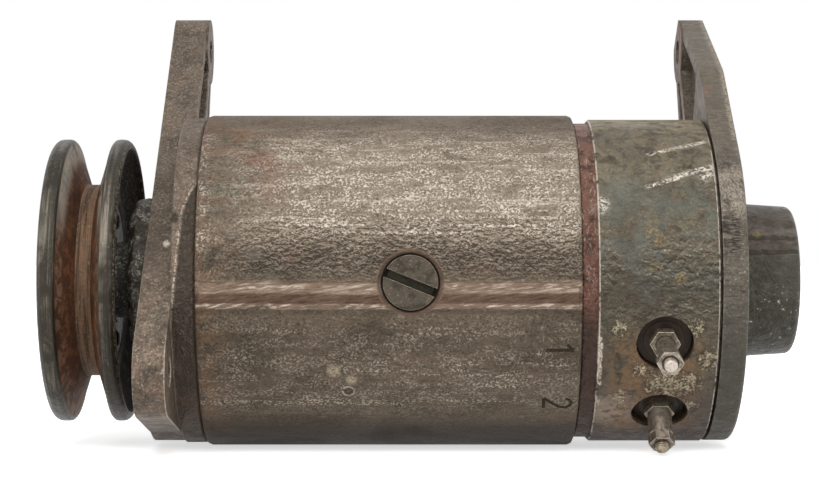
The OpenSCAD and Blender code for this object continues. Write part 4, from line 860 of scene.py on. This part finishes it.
def brush_carbon(paint):
    """Sintered carbon of the brushes."""
    f = Finish("brush_carbon", paint)
    grain = f.grain(0.4, 1, 5, 0.7)
    f.tint((0.022, 0.022, 0.024))
    f.tint((0.07, 0.068, 0.066), 0.7, (grain, 0.5, 0.7))
    f.shine(0.5)
    f.shine(0.3, 0.6, (grain, 0.55, 0.7))
    f.raise_by(0.04, grain)
    return f.done(0.8, 0.2)


def cage_brass(paint):
    """Brass of the bearing cages and the brush holders."""
    f = Finish("cage_brass", paint, metal=1)
    dull = f.grain(4, 1, 5, 0.6, 0.3)
    fine = f.grain(0.5, 4, 5, 0.7, 0, 5)
    f.tint((0.45, 0.32, 0.14))
    f.tint((0.2, 0.135, 0.065), 0.75, (dull, 0.4, 0.6))
    f.shine(0.32)
    f.shine(0.55, 0.8, (dull, 0.44, 0.62))
    f.raise_by(0.03, fine)
    return f.done(0.8, 0.2)


def terminal_metal(paint, pitch=None):
    """Tarnished metal, painted shade in the hollows, pale corners, threaded if it has a pitch."""
    f = Finish("terminal_metal", paint, metal=0.7)
    dull = f.grain(1.8, 1, 5, 0.65, 0.4)
    fine = f.grain(0.4, 1, 5, 0.7, 0, 7)
    f.tint(paint.brass)
    f.dark(0.6, (dull, 0.58, 0.4))
    f.dark(0.4, (fine, 0.48, 0.36))
    # Painted shade: darker deeper in the terminal recess, near the housing.
    f.dark(0.4, (f.radius(), 55.5, 51.5))
    stud = f.from_stud()
    # Painted shade in the ring round the stud, inside the nut's countersink.
    f.dark(0.8, f.band(stud, 2.2, 3, 0.15))
    f.tint((0.6, 0.54, 0.5), 0.6, (f.radius(), 61, 63), (stud, 2.1, 1.7), (f.z, -44, -34),
           (fine, 0.36, 0.5))
    f.glint(0.85, f.edge(0.45), (fine, 0.34, 0.5))
    f.shine(0.4)
    f.shine(0.66, 0.8, (dull, 0.52, 0.4))
    f.raise_by(0.12, dull)
    f.raise_by(0.05, fine)
    if pitch:
        f.raise_by(0.12, f.sum("SINE", f.both(f.radius(), 2 * math.pi * MM / pitch)))
    return f.done(0.8, 0.25)


def terminal_steel(paint):
    """Plated collars and outer nuts, worn bright."""
    f = Finish("terminal_steel", paint, metal=0.8)
    dull = f.grain(1.7, 1, 5, 0.65, 0.4, 3)
    fine = f.grain(0.4, 1, 5, 0.7, 0, 7)
    f.tint((0.3, 0.26, 0.21))
    # Painted shade round the stud in the bore of the collar and nut.
    f.dark(0.85, (f.from_stud(), 2.75, 2.5))
    f.tint((0.09, 0.06, 0.045), 0.5, (f.z, -36, -44))
    f.dark(0.6, (dull, 0.56, 0.4))
    f.dark(0.4, (fine, 0.48, 0.36))
    f.glint(0.9, f.edge(0.4), (fine, 0.34, 0.5))
    f.shine(0.36)
    f.shine(0.6, 0.8, (dull, 0.52, 0.4))
    f.raise_by(0.1, dull)
    f.raise_by(0.04, fine)
    return f.done(0.8, 0.25)


def old_grease(paint):
    """Black grease with grit and glossy grey clots."""
    f = Finish("old_grease", paint, specular=0.5)
    clots = f.grain(2.2, 1, 5, 0.65, 0.8)
    grit = f.grain(0.6, 1, 5, 0.75, 0, 3)
    f.tint((0.03, 0.025, 0.018))
    f.tint((0.085, 0.075, 0.055), 0.7, (clots, 0.5, 0.66))
    f.tint((0.5, 0.45, 0.36), 0.7, (grit, 0.5, 0.58), (clots, 0.44, 0.56))
    f.shine(0.3)
    f.shine(0.55, 0.7, (clots, 0.46, 0.36))
    f.raise_by(0.9, clots)
    f.raise_by(0.2, grit)
    return f.done(1)


def stamp_shadow(paint):
    """Painted shade with dirt in the bottom of the stamped numerals."""
    f = Finish("stamp_shadow", paint, specular=0.1)
    grain = f.grain(0.7, 1, 5, 0.7, 0.3)
    f.tint(paint.shadow)
    f.tint((0.06, 0.045, 0.034), 0.7, (grain, 0.48, 0.62))
    f.shine(0.6)
    f.shine(0.8, 0.7, (grain, 0.5, 0.64))
    f.raise_by(0.15, grain)
    return f.done(0.8)


def dress(material, *names):
    """Gives CAD nodes their material."""
    for name in names:
        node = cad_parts[name]
        node.data.materials.clear()
        node.data.materials.append(material)


def soften_edges(width, *names):
    """Rounds the sharp edges of CAD nodes with a modifier."""
    for name in names:
        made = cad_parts[name].modifiers.new("rubbed_corners", "BEVEL")
        made.width = width
        made.segments = 2
        made.limit_method = "ANGLE"
        made.angle_limit = math.radians(40)


def on_shaft(x, turn, radius):
    """Point at a station, degrees above the front and a distance from the shaft, all in mm."""
    a = math.radians(turn)
    return AXIS + Vector((x, -radius * math.cos(a), radius * math.sin(a))) * MM


def mesh_data(name, mesh):
    """Mesh data from a bmesh, which is freed."""
    data = bpy.data.meshes.new(name)
    mesh.to_mesh(data)
    mesh.free()
    return data


def add_object(name, data, place=(0, 0, 0)):
    """New object in the scene."""
    made = bpy.data.objects.new(name, data)
    made.location = place
    bpy.context.scene.collection.objects.link(made)
    return made


def seen_rays(nodes, links):
    """1 for rays that make the picture, by a reflection too, and 0 for rays that only light."""
    path = nodes.new("ShaderNodeLightPath")
    seen = path.outputs["Is Camera Ray"]
    for ray in ("Is Transmission Ray", "Is Glossy Ray"):
        larger = nodes.new("ShaderNodeMath")
        larger.operation = "MAXIMUM"
        links.new(seen, larger.inputs[0])
        links.new(path.outputs[ray], larger.inputs[1])
        seen = larger.outputs[0]
    return seen


def piece(name, body, material, mesh):
    """Turns a bmesh into a smooth-shaded piece that rides on a body."""
    bmesh.ops.recalc_face_normals(mesh, faces=mesh.faces)
    data = mesh_data(name, mesh)
    data.polygons.foreach_set("use_smooth", [True] * len(data.polygons))
    data.materials.append(material)
    made = add_object(name, data)
    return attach(made, body)


def skin(mesh, rows, closed=True):
    """Faces between rows of points, and round from the last point of a row to the first."""
    made = [[mesh.verts.new(p) for p in row] for row in rows]
    for low, high in zip(made, made[1:]):
        count = len(low)
        for i in range(count if closed else count - 1):
            j = (i + 1) % count
            mesh.faces.new((low[i], low[j], high[j], high[i]))
    return made


def clots(x, turn, size, seed):
    """Height of a lumpy crust between 0 and 1 at a place on the shaft's surroundings."""
    a = math.radians(turn)
    spot = Vector((x / size, 9.0 * math.cos(a) / size * 2.6, 9.0 * math.sin(a) / size * 2.6))
    value = noise.fractal(spot + Vector((seed, seed, seed)), 0.9, 2.1, 4)
    return max(-0.4, min(1.0, 0.2 + 0.8 * value))


def crust_ring(mesh, profile, height, size, seed, steps=220):
    """Lumpy skin over a turned surface: profile points are (station, radius, out x, out r)."""
    rows = []
    for x, radius, out_x, out_r in profile:
        row = []
        for i in range(steps):
            turn = i * 360.0 / steps
            lift = clots(x + radius, turn, size, seed) * height
            row.append(on_shaft(x + out_x * lift, turn, radius + out_r * lift))
        rows.append(row)
    skin(mesh, rows)


def in_steps(corners, step):
    """Points about a step apart along a line through corners (a, b)."""
    made = []
    for (a0, b0), (a1, b1) in zip(corners, corners[1:]):
        count = max(1, round(math.hypot(a1 - a0, b1 - b0) / step))
        made += [(a0 + (a1 - a0) * i / count, b0 + (b1 - b0) * i / count)
                 for i in range(count)]
    return made + [corners[-1]]


class GENERATOR_OT_yoke(bpy.types.Operator):
    """Weathered steel for the yoke and dark steel for its pole screws"""

    bl_idname = "generator.yoke"
    bl_label = "Yoke"

    def execute(self, context):
        paint = settings()[0]
        dress(yoke_steel(paint), "yoke")
        dress(screw_steel(paint), "pole_screw_front", "pole_screw_rear", "through_bolts",
              "through_bolt_washers", "pulley_nut", "pulley_spring_washer")
        return {"FINISHED"}


class GENERATOR_OT_castings(bpy.types.Operator):
    """Weathered castings of the two brackets and the housing"""

    bl_idname = "generator.castings"
    bl_label = "Castings"

    def execute(self, context):
        paint = settings()[0]
        dress(drive_casting(paint), "drive_end_bracket")
        dress(end_casting(paint), "commutator_end_bracket")
        dress(housing_casting(paint), "commutator_housing")
        return {"FINISHED"}


class GENERATOR_OT_pulley(bpy.types.Operator):
    """Rusty belt track and satin rims for the pulley"""

    bl_idname = "generator.pulley"
    bl_label = "Pulley"

    def execute(self, context):
        paint = settings()[0]
        dress(pulley_steel(paint), "pulley_outer_half", "pulley_inner_half", "pulley_rivets")
        dress(old_grease(paint), "pulley_hub", "shaft_collar")
        return {"FINISHED"}


class GENERATOR_OT_terminals(bpy.types.Operator):
    """Moulded bushes, tarnished studs and worn nuts of the terminals"""

    bl_idname = "generator.terminals"
    bl_label = "Terminals"

    def execute(self, context):
        paint, sizes, _ = settings()
        dress(brown_moulding(paint), "terminal_bushes", "terminal_inner_washers",
              "commutator_hub", "holder_insulating_plate")
        dress(terminal_metal(paint, sizes.thread_pitch), "armature_terminal_stud",
              "field_terminal_stud")
        dress(terminal_metal(paint), "terminal_base_nuts", "terminal_inner_nuts")
        dress(terminal_steel(paint), "terminal_collars", "terminal_outer_nuts")
        soften_edges(sizes.nut_bevel, "terminal_base_nuts", "terminal_outer_nuts", "pulley_nut")
        return {"FINISHED"}


class GENERATOR_OT_inside(bpy.types.Operator):
    """Finishes of the armature, the field, the bearings and the brush gear"""

    bl_idname = "generator.inside"
    bl_label = "Inside"

    def execute(self, context):
        paint = settings()[0]
        dress(ground_steel(paint), "shaft", "pulley_key", "bearing_retainer",
              "retainer_screws", "drive_bearing_outer_race", "drive_bearing_inner_race",
              "drive_bearing_balls", "rear_bearing_outer_race", "rear_bearing_inner_race",
              "rear_bearing_balls", "positive_brush_arm", "negative_brush_arm",
              "brush_arm_pins", "brush_springs", "holder_screws")
        dress(pole_steel(paint), "pole_shoe_front", "pole_shoe_rear", "armature_core")
        dress(coil_tape(paint), "field_coil_front", "field_coil_rear")
        dress(copper_wire(paint), "armature_winding")
        dress(commutator_copper(paint), "commutator_bars")
        dress(felt_wool(paint), "felt_ring")
        dress(brush_carbon(paint), "positive_brush", "negative_brush")
        dress(cage_brass(paint), "drive_bearing_cage", "rear_bearing_cage",
              "positive_brush_holder", "negative_brush_holder")
        return {"FINISHED"}


class GENERATOR_OT_grease(bpy.types.Operator):
    """Clotted grease on the drive end boss, behind the pulley"""

    bl_idname = "generator.grease"
    bl_label = "Grease"

    def execute(self, context):
        paint, sizes, _ = settings()
        mesh = bmesh.new()
        line = [(-6.4, 25.6), (-11.0, 25.6), (-12.2, 24.4), (-12.3, 16.5)]
        # The side, the end face and the corner between them rise each their own way
        side, end, corner = (0.0, 1.0), (-1.0, 0.0), (-0.7, 0.7)
        outward = [(x, r) + (side if r > 25.5 else end if x < -12.1 else corner)
                   for x, r in in_steps(line, 0.5)]
        crust_ring(mesh, outward, sizes.grease_height / MM, 3.4, 5.0)
        piece("boss_grease", "frame", old_grease(paint), mesh)
        return {"FINISHED"}


class GENERATOR_OT_numerals(bpy.types.Operator):
    """Plain numerals stamped in the yoke by the terminals, as strokes of painted shade and dirt"""

    bl_idname = "generator.numerals"
    bl_label = "Numerals"

    # Strokes of each numeral, as (height, sideways) places in shares of its height
    ONE = (((0.0, 0.0), (1.0, 0.0)), ((1.0, 0.0), (0.76, -0.2)))
    TWO = (((0.0, 0.27), (0.0, -0.25)),
           ((0.0, -0.25), (0.3, 0.0), (0.55, 0.2), (0.78, 0.25), (0.94, 0.14),
            (1.0, 0.0), (0.93, -0.16), (0.78, -0.24)))

    def execute(self, context):
        paint, sizes, _ = settings()
        mesh = bmesh.new()
        high = sizes.numeral_height / MM
        for strokes, turn in zip((self.ONE, self.TWO), NUMERAL_TURNS):
            for line in strokes:
                self.stroke(mesh, [(NUMERAL_X + h * high, turn * YOKE_DEGREE - s * high)
                                   for h, s in line])
        piece("stamped_numerals", "frame", stamp_shadow(paint), mesh)
        return {"FINISHED"}

    def stroke(self, mesh, corners, width=1.0, lift=0.04):
        """Ribbon along a line of (station, arc) places in mm, just above the yoke."""
        line, rows = in_steps(corners, 0.6), []
        for i, (x, arc) in enumerate(line):
            x0, arc0 = line[max(0, i - 1)]
            x1, arc1 = line[min(len(line) - 1, i + 1)]
            half = width / 2 / math.hypot(x1 - x0, arc1 - arc0)
            dx, over = (arc0 - arc1) * half, (x1 - x0) * half
            rows.append([on_shaft(x + dx * side, (arc + over * side) / YOKE_DEGREE,
                                  YOKE_RADIUS + lift) for side in (-1, -0.5, 0, 0.5, 1)])
        skin(mesh, rows, closed=False)


class GENERATOR_OT_stage(bpy.types.Operator):
    """Pale floor, soft studio light and the camera"""

    bl_idname = "generator.stage"
    bl_label = "Stage"

    def execute(self, context):
        studio = settings()[2]
        self.floor()
        self.room(studio)
        self.lamp("key_lamp", (0.03, -0.62, 0.52), 0.75, studio.key)
        self.lamp("left_lamp", (-0.75, -0.35, 0.12), 0.5, studio.key * 0.4)
        self.lamp("right_lamp", (0.9, -0.3, 0.1), 0.5, studio.key * 0.3)
        self.camera(studio)
        return {"FINISHED"}

    def floor(self):
        """Large floor that glows evenly to the camera, like paper."""
        mesh = bmesh.new()
        bmesh.ops.create_grid(mesh, x_segments=1, y_segments=1, size=6.0)
        made = add_object("floor", mesh_data("floor", mesh), (0, 0, CAD_BOX[0].z - FLOOR_GAP))
        f = Finish("pale_floor")
        f.tint((0.9, 0.9, 0.9))
        f.shine(0.8)
        made.data.materials.append(f.done())
        far = f.ramp(f.vector("LENGTH", f.place), 280.0, 900.0)
        glow = f.both(seen_rays(f.nodes, f.links), f.sum("MULTIPLY_ADD", far, 0.5, 0.6))
        f.put(glow, f.shader.inputs["Emission Strength"])
        f.shader.inputs["Emission Color"].default_value = (1.0, 1.0, 1.0, 1.0)

    def room(self, studio):
        """White surroundings, dimmer as a light than they look."""
        world = bpy.data.worlds.new("pale_room")
        bpy.context.scene.world = world
        world.use_nodes = True
        nodes, links = world.node_tree.nodes, world.node_tree.links
        back = nodes["Background"]
        level = nodes.new("ShaderNodeMapRange")
        links.new(seen_rays(nodes, links), level.inputs["Value"])
        level.inputs["To Min"].default_value = studio.sky
        level.inputs["To Max"].default_value = 1.0
        links.new(level.outputs["Result"], back.inputs["Strength"])
        back.inputs["Color"].default_value = (1.0, 1.0, 1.0, 1.0)

    def lamp(self, name, place, size, power):
        """Square lamp that points at the generator."""
        data = bpy.data.lights.new(name, "AREA")
        data.energy, data.size = power, size
        aim = Vector(LAMP_AIM) - Vector(place)
        made = add_object(name, data, place)
        made.rotation_euler = aim.to_track_quat("-Z", "Y").to_euler()

    def camera(self, studio):
        """Camera of the photo, level and straight in front."""
        data = bpy.data.cameras.new("photo_camera")
        data.lens, data.sensor_width = studio.lens, 36.0
        data.clip_start, data.clip_end = 0.01, 20.0
        made = add_object("photo_camera", data, (CAMERA_X, studio.camera_y, studio.camera_z))
        made.rotation_euler = (math.radians(90), 0.0, 0.0)
        bpy.context.scene.camera = made
        bpy.context.scene.view_settings.view_transform = "Standard"


OPERATORS = (
    GENERATOR_OT_yoke, GENERATOR_OT_castings, GENERATOR_OT_pulley, GENERATOR_OT_terminals,
    GENERATOR_OT_inside, GENERATOR_OT_grease, GENERATOR_OT_numerals, GENERATOR_OT_stage,
)


class GENERATOR_PT_sidebar(bpy.types.Panel):
    """Lists the pieces and the settings"""

    bl_label = "Generator"
    bl_idname = "GENERATOR_PT_sidebar"
    bl_space_type = "VIEW_3D"
    bl_region_type = "UI"
    bl_category = "Generator"

    def draw(self, context):
        for operator in OPERATORS:
            self.layout.operator(operator.bl_idname)
        for group in settings():
            box = self.layout.box()
            for name in group.bl_rna.properties.keys():
                if name not in ("rna_type", "name"):
                    box.prop(group, name)


CLASSES = (GeneratorFinishes, GeneratorDetails, GeneratorStudio, *OPERATORS,
           GENERATOR_PT_sidebar)


def register():
    for made in CLASSES:
        bpy.utils.register_class(made)
    bpy.types.Scene.generator_finishes = PointerProperty(type=GeneratorFinishes)
    bpy.types.Scene.generator_details = PointerProperty(type=GeneratorDetails)
    bpy.types.Scene.generator_studio = PointerProperty(type=GeneratorStudio)


def unregister():
    del bpy.types.Scene.generator_studio
    del bpy.types.Scene.generator_details
    del bpy.types.Scene.generator_finishes
    for made in reversed(CLASSES):
        bpy.utils.unregister_class(made)


def main():
    """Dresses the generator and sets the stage."""
    register()
    for operator in OPERATORS:
        getattr(bpy.ops.generator, operator.bl_idname.split(".")[1])()


if __name__ == "__main__":
    main()
